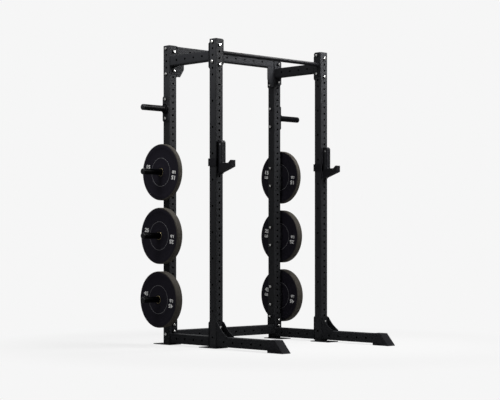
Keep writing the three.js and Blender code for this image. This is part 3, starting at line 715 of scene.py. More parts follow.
def dark_parts(grip):
    """Head, washers and nut of a bolt along Z whose head seats at 0, with the shank through what it grips.
    Their near-black is painted shade for the dark reflections on the sides of a zinc bolt.
    """
    nut_seat, radius = -grip - WASHER_HEIGHT, SHANK_RADIUS - SHANK_PLAY
    shank = turned([(nut_seat - SUNK, 0), (nut_seat - SUNK, radius), (WASHER_HEIGHT + SUNK, radius),
                    (WASHER_HEIGHT + SUNK, 0)], ROD_STEPS)
    nut = hexagon(-grip - NUT_HEIGHT, nut_seat, 0.0, HEX_CHAMFER)
    head = hexagon(WASHER_HEIGHT, HEAD_HEIGHT - FACE_HEIGHT, HEX_CHAMFER, 0.0)
    return head + washer(0.0) + washer(nut_seat) + nut + shank


def bright_parts(grip):
    """The face on the head, and the end of the thread that stands out of the nut: the bolt's bright zinc,
    shown only here as painted highlights.
    """
    root, tip = -grip - NUT_HEIGHT + SUNK, -grip - THREAD_END
    levels = np.linspace(root, tip + THREAD_CHAMFER, THREAD_RINGS)
    ridges = [(level, SHANK_RADIUS - THREAD_DEPTH * (index % 2)) for index, level in enumerate(levels)]
    thread = turned([(root, 0)] + ridges + [(tip, SHANK_RADIUS - THREAD_CHAMFER), (tip, 0)], ROD_STEPS)
    foot = HEAD_HEIGHT - 2 * FACE_HEIGHT
    face = turned([(foot, 0), (foot, FACE_RADIUS), (HEAD_HEIGHT - 0.5 * FACE_HEIGHT, FACE_RADIUS),
                   (HEAD_HEIGHT, FACE_RADIUS - FACE_EDGE), (HEAD_HEIGHT, 0)], DISC_STEPS)
    return face + thread


def bolts(name, grip, places, axis):
    """Lays a bolt at each (place, sign) along an axis; sign says which way its head points."""
    # The bright faces and thread ends are painted highlights, and the dark rest of each bolt is painted
    # shade.
    for part, shape, slot, finish in (("bolt_painted_highlights", bright_parts(grip), "bolt_zinc", zinc),
                                      ("bolts", dark_parts(grip), MEMBER_SLOT, dark_painted_shade)):
        copies = [surface for place, sign in places for surface in laid(shape, axis, place, sign)]
        make(f"{name}_{part}", copies, "frame", finish)


print("a bolt has", sum(len(faces) for points, faces in dark_parts(TUBE) + bright_parts(TUBE)), "faces")


# %% [markdown]
# ## Members
# A member is a drilled tube with a flange welded outside each end. A flange is a flat plate with cut corners.
# Its outline is carried along the member's axis, and a bevel rounds its edges by half a millimetre, which is
# what a tumbled laser-cut edge looks like. All of them wear the same coat, so one function makes each piece
# of them, and one makes a whole member.

# %% Member shapes
EDGE, CORNER_CUT, PLATE_BEVEL = PITCH / 2, 10.0, 0.5
FACE = HALF + SEAT
INNER_FACE = FACE + FLANGE
SIDE_OVERHANG, WELD = 3.0, 5.0
HOLE_STEP = 101.6


def cut_plate(wide, bottom, top):
    """Outline of an upright plate with cut corners."""
    narrow, low, high = wide - CORNER_CUT, bottom + CORNER_CUT, top - CORNER_CUT
    return [(-wide, low), (-narrow, bottom), (narrow, bottom), (wide, low),
            (wide, high), (narrow, top), (-narrow, top), (-wide, high)]


def hole_places(count, centre):
    """Places one hole step apart, with their middle at the centre."""
    return centre + HOLE_STEP * (np.arange(count) - (count - 1) / 2)


def steel(name, shape, replaces=(), bevel=0.0):
    """A piece of the frame in the members' coat."""
    return make(name, shape, "frame", coat_beams, replaces, bevel)


def drilled_tube(node, axis, centre, span, holes, anchor):
    """A tube along an axis with holes in two of its sides, which stands for its CAD solid."""
    tube = square_tube(*span, {1: holes, 3: holes}, anchor)
    stamp_inside(steel(f"{node}_tube", laid(tube, axis, centre), [node]), axis)


def flange_pair(name, axis, centre, span, outline):
    """A flange outside each end of a span. Its outline holds its height, so the centre's is left out."""
    low, high = span
    pair = extruded(outline, low - FLANGE, low) + extruded(outline, high, high + FLANGE)
    steel(f"{name}_flanges", laid(pair, axis, (*centre[:2], 0)), bevel=PLATE_BEVEL)


def member(node, axis, centre, span, holes, anchor, outline, weld=WELD):
    """A drilled tube with a flange welded to each end."""
    drilled_tube(node, axis, centre, span, holes, anchor)
    flange_pair(node, axis, centre, span, outline)
    welds = tube_bead(span[0], 1, weld) + tube_bead(span[1], -1, weld)
    steel(f"{node}_welds", laid(welds, axis, centre))


def cross_bolts(name, y, rows):
    """Bolts through the flanges of a piece that runs from side to side, with their heads outside."""
    places = [((sign * (SIDE_X + FACE), y, row), sign) for row in rows for sign in (-1, 1)]
    bolts(name, FACE + INNER_FACE, places, "x")


print("flanges seat", FACE, "mm from the middle of an upright")

# %% [markdown]
# ## Side beams, base sections and front legs
# These members run from front to back. The legs have one flange and add two gussets, whose long edge is a
# hollow curve: a straight line from toe to top, pulled in by a half sine.

# %% Build the members that run from front to back
BEAM_HOLES, LEG_HOLES, LEG_FIRST_HOLE = 4, 5, 87.9
GUSSET_REACH, GUSSET_DROP, GUSSET_NOSE, GUSSET_HOLLOW, GUSSET_SUNK = 117.4, 5.0, 6.0, 9.0, 4.0
GUSSET_STEPS, FOOT_BEVEL = 20, 2.5
span_y = (FRONT_Y + INNER_FACE, REAR_Y - INNER_FACE)
beam_holes = hole_places(BEAM_HOLES, (FRONT_Y + REAR_Y) / 2)
beam_height = BEAM_ROWS.mean()
base_bottom, base_flange_top = (value[2] for value in limits("base_section_left"))
base_middle = base_bottom + HALF
leg_tip, leg_root = limits("front_leg_left")[0][1], FRONT_Y - INNER_FACE
leg_holes = FRONT_Y - HALF - LEG_FIRST_HOLE - HOLE_STEP * np.arange(LEG_HOLES)
beam_plate = cut_plate(HALF + SIDE_OVERHANG, BEAM_ROWS.min() - EDGE, BEAM_ROWS.max() + EDGE)
base_plate = cut_plate(HALF + SIDE_OVERHANG, base_bottom, base_flange_top)


def gusset_outline(root, reach, bottom, top):
    """A gusset from its root forwards: its long edge is a straight line pulled in by a half sine."""
    share = np.linspace(0, 1, GUSSET_STEPS + 1)[:, None]
    start, end = np.array([root - reach, bottom + GUSSET_NOSE]), np.array([root - GUSSET_NOSE, top])
    side = np.array([end[1] - start[1], start[0] - end[0]]) / np.linalg.norm(end - start)
    curve = start + (end - start) * share + side * GUSSET_HOLLOW * np.sin(np.pi * share)
    foot = bottom - GUSSET_SUNK
    return np.vstack([[(root, foot), (root - reach, foot)], curve, [(root, top)]])


leg_gusset = gusset_outline(leg_root, GUSSET_REACH, base_bottom + TUBE, base_flange_top - GUSSET_DROP)
leg_gussets = extruded(leg_gusset, -HALF, -HALF + FLANGE) + extruded(leg_gusset, HALF - FLANGE, HALF)
leg_flange = extruded(base_plate, leg_root, leg_root + FLANGE)

for name, sign in SIDES:
    x = sign * SIDE_X
    node, grip = f"top_beam_{name}", FACE + INNER_FACE
    member(node, "y", (x, 0, beam_height), span_y, beam_holes, beam_holes[0], beam_plate)
    bolts(node, grip, [((x, y, row), toward) for y, toward in ((FRONT_Y - FACE, -1), (REAR_Y + FACE, 1))
                       for row in BEAM_ROWS], "y")
    node, centre = f"base_section_{name}", (x, 0, base_middle)
    member(node, "y", centre, span_y, beam_holes, beam_holes[0], base_plate)
    bolts(node, grip, [((x, REAR_Y + FACE, row), 1) for row in BASE_ROWS], "y")
    node = f"front_leg_{name}"
    drilled_tube(node, "y", centre, (leg_tip, leg_root), leg_holes, leg_holes[0])
    parts = laid(leg_flange, "y", (x, 0, 0)) + laid(leg_gussets, "x", (x, 0, 0))
    steel(f"{node}_flange", parts, bevel=PLATE_BEVEL)
    steel(f"{node}_welds", laid(tube_bead(leg_root, -1, WELD), "y", centre))
    bolts(node, grip + SEAT + FLANGE, [((x, leg_root, row), -1) for row in BASE_ROWS], "y")
    finer_copy(f"foot_cap_{name}", f"foot_cap_{name}_rubber", "frame", foot_rubber, FOOT_BEVEL)
print("side beams, base sections and legs built")

# %% [markdown]
# ## Crossmembers
# Two crossmembers tie the rear uprights together. The upper one has a gusset under each end, flush with the
# front of its tube.

# %% Build the crossmembers
CROSS_HOLES, CROSS_INSET, LOW_CROSS_RISE, CROSS_WELD = 9, 4.9, 9.6, 4.2
EAR_REACH, EAR_TOE, EAR_SHOULDER, EAR_OVERLAP, EAR_LIFT, EAR_SUNK = 78.5, 37.0, 67.0, 3.0, 5.0, 4.0
reach_x = SIDE_X - INNER_FACE
span_x = (-reach_x, reach_x)
cross_holes = hole_places(CROSS_HOLES, 0.0)
top_low, top_high = (value[2] for value in limits("cross_member_top"))
cross_middle = top_high - CROSS_INSET - HALF
low_cross_middle = LOW_CROSS_ROWS[0] - LOW_CROSS_RISE
low_top = limits("cross_member_bottom")[1][2]

for node, height, bottom, top, rows in (
        ("cross_member_top", cross_middle, top_low, top_high, CROSS_ROWS),
        ("cross_member_bottom", low_cross_middle, low_cross_middle - HALF, low_top, LOW_CROSS_ROWS)):
    outline = cut_plate(HALF, bottom, top)
    member(node, "x", (0, REAR_Y, height), span_x, cross_holes, 0.0, outline, CROSS_WELD)
    cross_bolts(node, REAR_Y, rows)

face_x, ear_root, ear_foot = SIDE_X - HALF, reach_x + EAR_OVERLAP, top_low + EAR_LIFT
ear_top = cross_middle - HALF + EAR_SUNK
ear = np.array([(ear_root, ear_foot), (ear_root, ear_top), (face_x - EAR_REACH, ear_top),
                (face_x - EAR_REACH, top_low + EAR_SHOULDER), (face_x - EAR_TOE, ear_foot)])
ears = [surface for sign in (-1, 1)
        for surface in laid(extruded(ear * (sign, 1), REAR_Y - HALF, REAR_Y - HALF + FLANGE), "y")]
steel("cross_member_top_gussets", ears, bevel=PLATE_BEVEL)
print("crossmembers built")

# %% [markdown]
# ## Pull-up bar
# The bar is knurled for grip: rows of tiny pyramids. A bump in the finish would vanish at the outline, so the
# pyramids are modelled. On a grid round the bar, every other point stands out, and the next ring is shifted
# by one.

# %% Build the pull-up bar
BAR_RADIUS, KNURL_DEPTH, KNURL_STEPS = 16.0, 0.45, 60
BAR_WELD, BAR_SUNK, KNURL_ANGLE = 4.0, 2.0, 60.0
KNURL_PITCH = 2 * np.pi * BAR_RADIUS / KNURL_STEPS


def knurled_bar(low, high):
    """radius = full where ring number + step number is even, and less the knurl's depth where it is odd."""
    rings = 2 * round((high - low) / KNURL_PITCH / 2) + 1
    along = np.linspace(low, high, rings)
    angle = np.arange(KNURL_STEPS) * 2 * np.pi / KNURL_STEPS
    odd = (np.arange(rings)[:, None] + np.arange(KNURL_STEPS)) % 2
    radius = BAR_RADIUS - KNURL_DEPTH * odd
    return capped(np.stack([radius * np.cos(angle), radius * np.sin(angle), along[:, None] + 0 * radius], -1))


bar_centre = (0, FRONT_Y, BAR_ROWS.mean())
grip_bar = knurled_bar(-reach_x - BAR_SUNK, reach_x + BAR_SUNK)
make("pull_up_bar_grip", laid(grip_bar, "x", bar_centre), "frame", coat_bar,
     ["pull_up_bar"], smooth=KNURL_ANGLE)
plate = cut_plate(HALF, BAR_ROWS.min() - EDGE, BAR_ROWS.max() + EDGE)
flange_pair("pull_up_bar", "x", bar_centre, span_x, plate)
welds = round_bead(BAR_RADIUS, -reach_x, 1, BAR_WELD) + round_bead(BAR_RADIUS, reach_x, -1, BAR_WELD)
steel("pull_up_bar_welds", laid(welds, "x", bar_centre))
cross_bolts("pull_up_bar", FRONT_Y, BAR_ROWS)
print("pull-up bar built")

# %% [markdown]
# ## Storage pegs
# A peg is a round tube welded to a thick collar on a bolted bracket, with a soft-edged cap in its tip. Tube,
# collar and cap are turned profiles. Distances are from the middle of the upright outwards.

# %% Build the pegs
PEG_RADIUS, PEG_WALL, PEG_TIP, PEG_EDGE, PEG_WELD = 24.15, 3.7, HALF + 250.0, 0.6, 3.0
COLLAR_RADIUS, COLLAR, COLLAR_EDGE, COLLAR_WELD, COLLAR_WELD_SHARE = 40.0, 13.5, 1.5, 3.5, 0.99
CAP_HEAD, CAP_ROUND, CAP_PLUG, CAP_EDGE, BORE_DEPTH, COLLAR_SUNK = 12.0, 9.0, 20.0, 0.5, 40.0, 3.0
PEG_STEPS = 48
collar_face, cap_seat = INNER_FACE + COLLAR, PEG_TIP - CAP_HEAD
peg_end, peg_bore = cap_seat - SEAT, PEG_RADIUS - PEG_WALL
post = turned([
    (INNER_FACE - COLLAR_SUNK, 0), (INNER_FACE - COLLAR_SUNK, COLLAR_RADIUS),
    (collar_face - COLLAR_EDGE, COLLAR_RADIUS), (collar_face, COLLAR_RADIUS - COLLAR_EDGE),
    (collar_face, PEG_RADIUS), (peg_end - PEG_EDGE, PEG_RADIUS), (peg_end, PEG_RADIUS - PEG_EDGE),
    (peg_end, peg_bore), (peg_end - BORE_DEPTH, peg_bore), (peg_end - BORE_DEPTH, 0),
], PEG_STEPS)
cap_round = arc((PEG_TIP - CAP_ROUND, PEG_RADIUS - CAP_ROUND), CAP_ROUND, 90, 0)
peg_cap = turned([
    (cap_seat - CAP_PLUG, 0), (cap_seat - CAP_PLUG, peg_bore - SEAT), (cap_seat, peg_bore - SEAT),
    (cap_seat, PEG_RADIUS - CAP_EDGE), (cap_seat + CAP_EDGE, PEG_RADIUS), *cap_round, (PEG_TIP, 0),
], PEG_STEPS)
bracket = extruded(cut_plate(HALF, -PEG_SPAN - EDGE, PEG_SPAN + EDGE), FACE, INNER_FACE)
peg_welds = (round_bead(PEG_RADIUS, collar_face, 1, PEG_WELD)
             + round_bead(COLLAR_RADIUS * COLLAR_WELD_SHARE, INNER_FACE, 1, COLLAR_WELD))

for name, sign in SIDES:
    for number, height in enumerate(PEG_HEIGHTS, 1):
        node, place = f"storage_peg_{name}_{number}", (sign * SIDE_X, REAR_Y, height)
        make(f"{node}_post", laid(post, "x", place, sign), "frame", satin_pegs, [node])
        steel(f"{node}_bracket", laid(bracket, "x", place, sign), bevel=PLATE_BEVEL)
        steel(f"{node}_welds", laid(peg_welds, "x", place, sign))
        head_x = sign * (SIDE_X + INNER_FACE)
        heads = [((head_x, REAR_Y, height + shift), sign) for shift in (-PEG_SPAN, PEG_SPAN)]
        bolts(node, INNER_FACE + FACE, heads, "x")
        node = f"peg_cap_{name}_{number}"
        make(f"{node}_cap", laid(peg_cap, "x", place, sign), "frame", cap_plastic, [node])
print("pegs built")

# %% [markdown]
# ## Bumper plates
# A bumper plate is a thick rubber disc round a metal hub. Its section is worked out as a height over the
# radius: a full-thickness rim band, a shallow dish, a raised boss at the hub. The section is turned into a
# ring, and each point remembers its distance from the axis for the finish. The weight stands in plain numbers
# on both faces, once the right way up and once upside down. The text starts as Blender's own plain font and
# becomes a mesh.

# %% Plate shape
PLATE_RADIUS, RIM_ROUND, HUB_RADIUS, HUB_BORE = 225.0, 7.0, 32.0, 25.4
BOSS_DEPTH, BOSS_EDGE, BOSS_FOOT, DISH, DISH_FOOT, DISH_EDGE = 0.6, 52.0, 58.0, 3.0, 184.0, 191.0
HUB_INSET, HUB_PLAY, HUB_CHAMFER = 0.4, 0.3, 0.8
RIM_WIRE, RIM_MIDDLE, RIM_SUNK = 1.1, 30.0, 0.8
LINE_RADIUS, LINE_FOOT, LINE_TOP, LINE_SUNK, LINE_RISE = 113.0, 1.2, 0.8, 0.2, 0.5
FACE_RADII = np.array([HUB_RADIUS, 40, BOSS_EDGE, 55, BOSS_FOOT, 80, 110, 150, DISH_FOOT, 187, DISH_EDGE, 205,
                       PLATE_RADIUS - RIM_ROUND])
PLATE_STEPS, LINE_STEPS, HUB_STEPS = 128, 96, 64


def face_depth(radius):
    """How far the face lies below the rim band: 0 at the rim, most in the dish, and less at the boss."""
    return np.interp(radius, [HUB_RADIUS, BOSS_EDGE, BOSS_FOOT, DISH_FOOT, DISH_EDGE, PLATE_RADIUS],
                     [BOSS_DEPTH, BOSS_DEPTH, DISH, DISH, 0, 0])


def plate_ring(thickness):
    """A closed section turned about the axis: one face outwards, round the rim, and the other face back."""
    edge = arc((RIM_ROUND, PLATE_RADIUS - RIM_ROUND), RIM_ROUND, 180, 90, 6)[1:]
    one = np.vstack([np.column_stack([face_depth(FACE_RADII), FACE_RADII]), edge])
    other = one[::-1] * (-1, 1) + (thickness, 0)
    return turned(np.vstack([one, other, one[:1]]), PLATE_STEPS)


def hub_ring(thickness):
    """A metal ring in the plate's middle, with broken edges inside."""
    low, high, outer, inner = HUB_INSET, thickness - HUB_INSET, HUB_RADIUS - HUB_PLAY, HUB_BORE + HUB_CHAMFER
    return turned([(low, inner), (low, outer), (high, outer), (high, inner),
                   (high - HUB_CHAMFER, HUB_BORE), (low + HUB_CHAMFER, HUB_BORE), (low, inner)], HUB_STEPS)


def hub_rims(thickness):
    """A thin brass rim round the hub on each face, where the brass hub's edges catch the light: a half-round
    section turned about the axis.
    """
    angle = np.linspace(0, np.pi, 9)
    rims = []
    for level, side in ((RIM_SUNK, -1), (thickness - RIM_SUNK, 1)):
        along, radius = level + side * RIM_WIRE * np.sin(angle), RIM_MIDDLE + RIM_WIRE * np.cos(angle)
        section = np.column_stack([along, radius])
        rims += turned(np.vstack([section, section[:1]]), HUB_STEPS)
    return rims


def line_ring(level, side):
    """A thin raised line on a face, round the axis."""
    section = [(-LINE_SUNK, -LINE_FOOT), (LINE_RISE, -LINE_TOP), (LINE_RISE, LINE_TOP),
               (-LINE_SUNK, LINE_FOOT), (-LINE_SUNK, -LINE_FOOT)]
    return turned([(level + rise * side, LINE_RADIUS + shift) for rise, shift in section], LINE_STEPS)


print("the face lies", face_depth(LINE_RADIUS), "mm below the rim at the line")


# %% Lettering
LETTER_ANGLE, CURVE_STEPS = 20.0, 3
MARK_OUT, MARK_DEPTH, MARK_WIDTH_SHARE, MARK_BOLD, MARK_SUNK = 158.0, 0.8, 1.25, 0.028, 0.1
WEIGHT_HEIGHT, WEIGHT_RAISE, UNIT_HEIGHT, UNIT_DROP, HUNG_ANGLE = 32.0, 24.0, 23.0, 19.0, -8.5


def lettering(text, height, width_share, thickness, bold=0.0):
    """Plain letters as a mesh: centred on the origin in the X-Y plane, rising from 0 to the thickness."""
    curve = bpy.data.curves.new("letters", "FONT")
    curve.body, curve.size, curve.extrude, curve.offset = text, 1.0, 0.5, bold
    curve.align_x, curve.align_y, curve.resolution_u = "CENTER", "CENTER", CURVE_STEPS
    letters = placed("letters", curve)
    mesh = bpy.data.meshes.new_from_object(letters.evaluated_get(bpy.context.evaluated_depsgraph_get()))
    bpy.data.objects.remove(letters)
    bpy.data.curves.remove(curve)
    points = points_of(mesh)
    low, high = points.min(0), points.max(0)
    points = (points - (low + high) / 2) * np.array([width_share, 1, 1]) * height / (high - low)[1]
    points[:, 2] = (points[:, 2] > 0) * thickness
    shape = [(points, np.array([list(face.vertices)])) for face in mesh.polygons]
    bpy.data.meshes.remove(mesh)
    return shape


def plate_marks(weight):
    """The weight over its unit at the left, and the same upside down at the right, seen from above Z."""
    left = []
    for text, height, raised in ((str(weight), WEIGHT_HEIGHT, WEIGHT_RAISE), ("LB", UNIT_HEIGHT, -UNIT_DROP)):
        letters = lettering(text, height, MARK_WIDTH_SHARE, MARK_DEPTH, MARK_BOLD)
        left += [(points + (-MARK_OUT, raised, 0), faces) for points, faces in letters]
    return left + [(points * (-1, -1, 1), faces) for points, faces in left]


def on_face(shape, side, level, center):
    """Lays a shape seen from above Z on the face that looks to side along X, turned as the plate hangs."""
    angle = math.radians(HUNG_ANGLE) * -side
    across, up, out = (np.array(axis, float) for axis in ((0, side, 0), (0, 0, 1), (side, 0, 0)))
    right = across * math.cos(angle) + up * math.sin(angle)
    top = up * math.cos(angle) - across * math.sin(angle)
    return [(points @ np.stack([right, top, out]) + (level, *center), faces) for points, faces in shape]


print("the weights lie", MARK_OUT, "mm from the axis")


# %% Build the plates
def stamp_radius(piece, middle_y, middle_z):
    """Stores each point's distance from the plate's axis, as a share of the plate's radius."""
    points = points_of(piece.data) / MM
    stamp(piece, "from_axis", np.hypot(points[:, 1] - middle_y, points[:, 2] - middle_z) / PLATE_RADIUS)


for name, sign in SIDES:
    for weight in (15, 25, 45):
        node, hub = f"bumper_plate_{weight}_{name}", f"plate_hub_{weight}_{name}"
        body = f"plate_{weight}_{name}"
        low, high = limits(node)
        thickness, height = high[0] - low[0], (low[2] + high[2]) / 2
        place = (high[0] if sign < 0 else low[0], REAR_Y, height)
        lines = line_ring(DISH, -1) + line_ring(thickness - DISH, 1)
        disc = make(f"{node}_rubber", laid(plate_ring(thickness), "x", place, sign), body,
                    bumper_rubber, [node])
        stamp_radius(disc, REAR_Y, height)
        # The hub ring is near-black as painted shade for the dark reflections on a brass hub; the brass rims
        # keep its colour.
        make(f"{hub}_ring", laid(hub_ring(thickness), "x", place, sign), body, dark_painted_shade, [hub])
        make(f"{hub}_rims", laid(hub_rims(thickness), "x", place, sign), body, brass)
        make(f"plate_line_{weight}_{name}", laid(lines, "x", place, sign), body, ring_paint)
        marks = []
        for side, level in ((-1, low[0] + DISH - MARK_SUNK), (1, high[0] - DISH + MARK_SUNK)):
            marks += on_face(plate_marks(weight), side, level, (REAR_Y, height))
        make(f"plate_marks_{weight}_{name}", marks, body, mark_paint, smooth=LETTER_ANGLE)
print("plates built")

# %% [markdown]
# ## Bar cups
# A bar cup hangs on the front upright by two pins and a saddle. A steel web carries the load, and a plastic
# liner on each side keeps the bar off the steel. The outlines repeat the CAD ones with true arcs, and screws
# clamp the liners to the web.

# %% Cup outlines
CUP_PIN_ROWS = ROWS[[-16, -20]]
CUP_RISE, CUP_DROP, FLOOR_DROP, SADDLE_DROP = 24.0, 30.0, 153.0, 144.0
cup_top, cup_bottom = CUP_PIN_ROWS[0] + CUP_RISE, CUP_PIN_ROWS[1] - CUP_DROP
cup_floor, saddle_middle = CUP_PIN_ROWS[0] - FLOOR_DROP, CUP_PIN_ROWS[0] - SADDLE_DROP
LEG, LEG_ROUND, CRADLE, CRADLE_ROUND = 50.0, 24.0, 68.0, 10.0
LIP_RUN, LIP_TOP, LIP_HEIGHT, LIP_CUT, NOSE, NOSE_CUT = 24.0, 18.0, 20.5, 2.0, 31.5, 3.0
HEEL_REACH, HEEL_RISE = 25.0, 5.0
SADDLE, SADDLE_REACH, SADDLE_BEND, SADDLE_TIP, SADDLE_HALF_HEIGHT = 5.0, 8.0, 7.0, 2.0, 30.0
WEB, LINER, PROUD, CUP_BACK, BACK_ROUND, WEB_SUNK = 11.4, 14.0, 1.0, 6.35, 18.0, 3.0


def cup_outline(inset, back):
    """Side view of a cup as (forward, up) pairs: leg with a round top, cradle, lip and nose."""
    top, floor, leg = cup_top - inset, cup_floor - inset, -HALF - LEG + inset
    foot, lip = -HALF - LEG - CRADLE - inset, floor + LIP_HEIGHT
    nose = foot - LIP_RUN - LIP_TOP + inset
    round_top = arc((leg + LEG_ROUND, top - LEG_ROUND), LEG_ROUND, 90, 180)
    inner_corner = arc((leg - CRADLE_ROUND, floor + CRADLE_ROUND), CRADLE_ROUND, 0, -90, 6)
    return np.vstack([
        [(back, cup_bottom), (back, top)], round_top, inner_corner,
        [(foot, floor), (foot - LIP_RUN + LIP_CUT, lip - LIP_CUT), (foot - LIP_RUN - LIP_CUT, lip),
         (nose + NOSE_CUT, lip), (nose, lip - NOSE_CUT), (nose, cup_floor - NOSE),
         (-HALF - HEEL_REACH, cup_bottom + HEEL_RISE)],
    ])


def saddle_outline():
    """Top view of the saddle: a U of bent steel that reaches round the upright, with round bends and tips."""
    outer, rear, front = FACE + SADDLE, HALF + SADDLE_REACH, -FACE - CUP_BACK
    bend = arc((outer - SADDLE_BEND, front + SADDLE_BEND), SADDLE_BEND, -90, 0)
    tip = arc((outer - SADDLE_TIP, rear - SADDLE_TIP), SADDLE_TIP, 0, 90, 3)
    right = np.vstack([bend, tip, [(FACE, rear), (FACE, -FACE)]])
    return np.vstack([right, right[::-1] * (-1, 1)])


print("cups reach", HALF + LEG + CRADLE + LIP_RUN + LIP_TOP, "mm forward from the middle of the upright")

# %% Cup parts
back_outline = np.vstack([
    [(-HALF, cup_bottom), (HALF, cup_bottom)],
    arc((HALF - BACK_ROUND, cup_top - BACK_ROUND), BACK_ROUND, 0, 90),
    arc((-HALF + BACK_ROUND, cup_top - BACK_ROUND), BACK_ROUND, 90, 180),
])
back_plate = extruded(back_outline, -FACE - CUP_BACK, -FACE)
web = extruded(cup_outline(PROUD, -FACE - WEB_SUNK), -WEB / 2, WEB / 2)
saddle = extruded(saddle_outline(), saddle_middle - SADDLE_HALF_HEIGHT, saddle_middle + SADDLE_HALF_HEIGHT)
cup_steel = laid(back_plate, "y") + laid(web, "x") + laid(saddle, "z")

PIN_RADIUS, PIN_LENGTH = 7.95, 9.6
PIN_TIP = ((-3.0, PIN_RADIUS), (-1.0, 7.2), (0.0, 5.5), (0.0, 0.0))
pin_tip = [(PIN_LENGTH + back, radius) for back, radius in PIN_TIP]
pin = turned([(-FACE - WEB_SUNK, 0), (-FACE - WEB_SUNK, PIN_RADIUS), *pin_tip], DISC_STEPS)
pins = [surface for row in CUP_PIN_ROWS for surface in laid(pin, "y", (0, 0, row))]

SCREW_FORWARD, SCREW_DROP = 28.0, 10.0
SCREW_PROFILE = ((SEAT, 0), (SEAT, 6.5), (1.2, 6.5), (2.9, 5.4), (3.9, 3.6), (3.9, 2.4), (2.2, 2.4), (2.2, 0))
near, far = WEB / 2 + SEAT, WEB / 2 + SEAT + LINER
screw = turned([(far + rise, radius) for rise, radius in SCREW_PROFILE], DISC_STEPS)
screw_place = (0, -HALF - SCREW_FORWARD, CUP_PIN_ROWS[0] - SCREW_DROP)
screws = laid(screw, "x", screw_place, -1) + laid(screw, "x", screw_place, 1)

INLAY_RADIUS, INLAY_FORWARD, INLAY_TOP_DROP, INLAY_FOOT_DROP = 7.5, 30.5, 22.0, 4.0
INLAY_SUNK, INLAY_PROUD = 1.0, 0.25
inlay_y, inlay_low = -HALF - INLAY_FORWARD, cup_floor - INLAY_FOOT_DROP + INLAY_RADIUS
inlay_outline = np.vstack([
    arc((inlay_y, cup_top - INLAY_TOP_DROP - INLAY_RADIUS), INLAY_RADIUS, 0, 180),
    arc((inlay_y, inlay_low), INLAY_RADIUS, 180, 360),
])
liner_outline = cup_outline(0.0, -FACE - CUP_BACK - SEAT)
print("cup parts:", len(cup_steel), "steel,", len(pins), "pin and", len(screws), "screw surfaces")


# %% Build the cups
CUP_BEVEL, LINER_BEVEL, INLAY_BEVEL = 0.8, 1.5, 0.3


def slab(outline, side, start, end):
    """An outline in side view as thick as from start to end, on one side of the web."""
    return laid(extruded(outline, *sorted((side * start, side * end))), "x")


for name, sign in SIDES:
    body, node, place = f"cup_{name}", f"bar_cup_{name}", (sign * SIDE_X, FRONT_Y, 0)
    make(f"{node}_steel", laid(cup_steel, "z", place), body, coat_cups, [node], CUP_BEVEL)
    make(f"{node}_pins", laid(pins, "z", place), body, zinc)
    make(f"{node}_screws", laid(screws, "z", place), body, dull_zinc)
    for liner, side in ((f"{node}_liner_outer", sign), (f"{node}_liner_inner", -sign)):
        plastic = laid(slab(liner_outline, side, near, far), "z", place)
        make(f"{liner}_plastic", plastic, body, liner_plastic, [liner], LINER_BEVEL)
        inlay = laid(slab(inlay_outline, side, far - INLAY_SUNK, far + INLAY_PROUD), "z", place)
        make(f"{liner}_inlay", inlay, body, liner_inlay, bevel=INLAY_BEVEL)
print("cups built")

# %% [markdown]
# ## Numbers beside the holes
# Small numbers printed between every second pair of holes of the front uprights help to set both cups at one
# height. They are thin dark letters that lie a tenth of a millimetre proud of the coat.

# %% Build the hole numbers
NUMBER_HEIGHT, NUMBER_SIDE, NUMBER_PROUD = 12.0, -19.0, 0.12
FIRST_NUMBERED, PAST_NUMBERED, EVERY_NUMBERED = 8, 35, 2
for name, sign in SIDES:
    shape = []
    for count, row in enumerate(SIDE_ROWS[FIRST_NUMBERED:PAST_NUMBERED:EVERY_NUMBERED], 1):
        place = (sign * SIDE_X + NUMBER_SIDE, FRONT_Y - HALF, row)
        letters = lettering(str(count), NUMBER_HEIGHT, 1.0, NUMBER_PROUD)
        shape += [(points[:, ORDER["y"]] * (1, -1, 1) + place, faces) for points, faces in letters]
    make(f"hole_numbers_{name}", shape, "frame", number_ink, smooth=LETTER_ANGLE)
print("hole numbers placed")

# %% [markdown]
# ## Floor, light and background
# The rack stands on a plain pale floor under soft studio light. Near the rack the floor is matt and takes its
# soft shadow, and further out it fades into the flat tone of the background, so no horizon shows. The world
# shows that same tone to the camera, a darker one to reflections, and lights the rack very gently. The studio
# is no part of the rack, so its sizes are in metres.


# %% Floor
def grey(level):
    """A grey colour of one level."""
    return (level, level, level, 1.0)


BACKGROUND = 0.922
FLOOR_CORNER, FADE_START, FADE_END = 30.0, 1.4, 2.6
FLOOR_MATT, FLOOR_GLOW, FLOOR_GLOW_SHARE, FLOOR_BOUNCE = 0.50, 1.1, 0.7, 0.5
floor_mesh = bpy.data.meshes.new("floor")
corners = [(x * FLOOR_CORNER, y * FLOOR_CORNER, 0) for x, y in ((-1, -1), (1, -1), (1, 1), (-1, 1))]
floor_mesh.from_pydata(corners, [], [(0, 1, 2, 3)])
placed("floor", floor_mesh)
material, place = start_finish("studio_floor")
distance = place.node("ShaderNodeVectorMath", {"operation": "LENGTH"}, {0: place}, "Value")
faded = place.node("ShaderNodeMapRange", {"interpolation_type": "SMOOTHSTEP"},
                   {"Value": distance, "From Min": FADE_START, "From Max": FADE_END})
seen = place.node("ShaderNodeLightPath", output="Is Camera Ray")
matt, dark = (place.node("ShaderNodeBsdfDiffuse", inputs={"Color": grey(level)})
              for level in (FLOOR_MATT, FLOOR_BOUNCE))
glow, flat = (place.node("ShaderNodeEmission", inputs={"Color": grey(level), "Strength": 1.0})
              for level in (FLOOR_GLOW, BACKGROUND))
near_rack = place.node("ShaderNodeMixShader", inputs={0: FLOOR_GLOW_SHARE, 1: matt, 2: glow})
pale = place.node("ShaderNodeMixShader", inputs={0: faded, 1: near_rack, 2: flat})
shader = place.node("ShaderNodeMixShader", inputs={0: seen, 1: dark, 2: pale})
place.node("ShaderNodeOutputMaterial", inputs={"Surface": shader})
floor_mesh.materials.append(material)
print("floor fades from", FADE_START, "to", FADE_END, "m out")

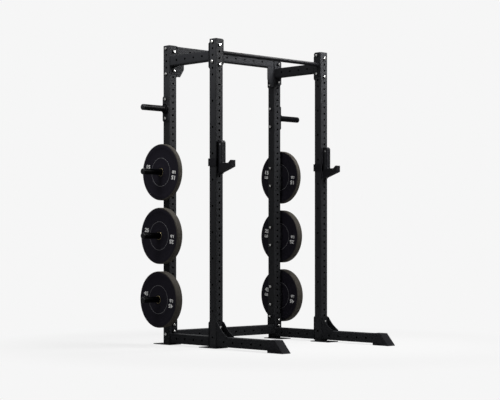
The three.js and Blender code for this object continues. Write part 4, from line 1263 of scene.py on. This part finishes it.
# %% World
AMBIENT, REFLECTED = 0.03, 0.25
world = bpy.data.worlds.new("studio")
bpy.context.scene.world = world
world.use_nodes = True
world.node_tree.nodes.clear()
studio = Tone(world.node_tree)
camera_ray, glossy_ray, clear_ray = (studio.node("ShaderNodeLightPath", output=kind) for kind in (
    "Is Camera Ray", "Is Glossy Ray", "Is Transmission Ray"))
ambient, reflected, background = (
    studio.node("ShaderNodeBackground", inputs={"Color": grey(1.0), "Strength": level})
    for level in (AMBIENT, REFLECTED, BACKGROUND))
unseen = studio.node("ShaderNodeMixShader", inputs={0: glossy_ray + clear_ray, 1: ambient, 2: reflected})
surface = studio.node("ShaderNodeMixShader", inputs={0: camera_ray, 1: unseen, 2: background})
studio.node("ShaderNodeOutputWorld", inputs={"Surface": surface})
print("world set")


# %% Lamps
def lamp(name, place, target, size, power):
    """A soft square lamp at a place that looks at a target, with its size in metres and power in watts."""
    data = bpy.data.lights.new(name, "AREA")
    data.shape, data.size, data.energy = "SQUARE", size, power
    light = placed(name, data)
    light.visible_camera = False
    light.location = place
    direction = np.array(target, float) - np.array(place, float)
    heading = math.atan2(direction[1], direction[0])
    drop = math.atan2(math.hypot(direction[0], direction[1]), -direction[2])
    light.rotation_euler = (drop, 0, heading - math.pi / 2)


lamp("key", (0.7, -1.9, 2.9), (0.1, 0, 1.2), 1.0, 66.0)
lamp("middle", (0.9, -0.3, 3.1), (0.5, 0.6, 0.8), 0.8, 46.0)
lamp("left", (-1.6, 0.3, 3.0), (-0.4, 0.3, 1.2), 1.0, 30.0)
lamp("low_left", (-3.5, 0.6, 1.5), (-0.4, 0.5, 0.9), 1.6, 8.0)
lamp("front", (4.7, -4.8, 2.6), (0, 0, 1.6), 3.4, 8.0)
lamp("back", (1.5, 4.0, 3.4), (0, 0.3, 1.2), 2.5, 38.0)
print("lamps:", len(bpy.data.lights))

# %% Count the faces
face_count = sum(len(piece.data.polygons) for piece in bpy.data.objects if piece.type == "MESH")
print("faces in the scene:", face_count)
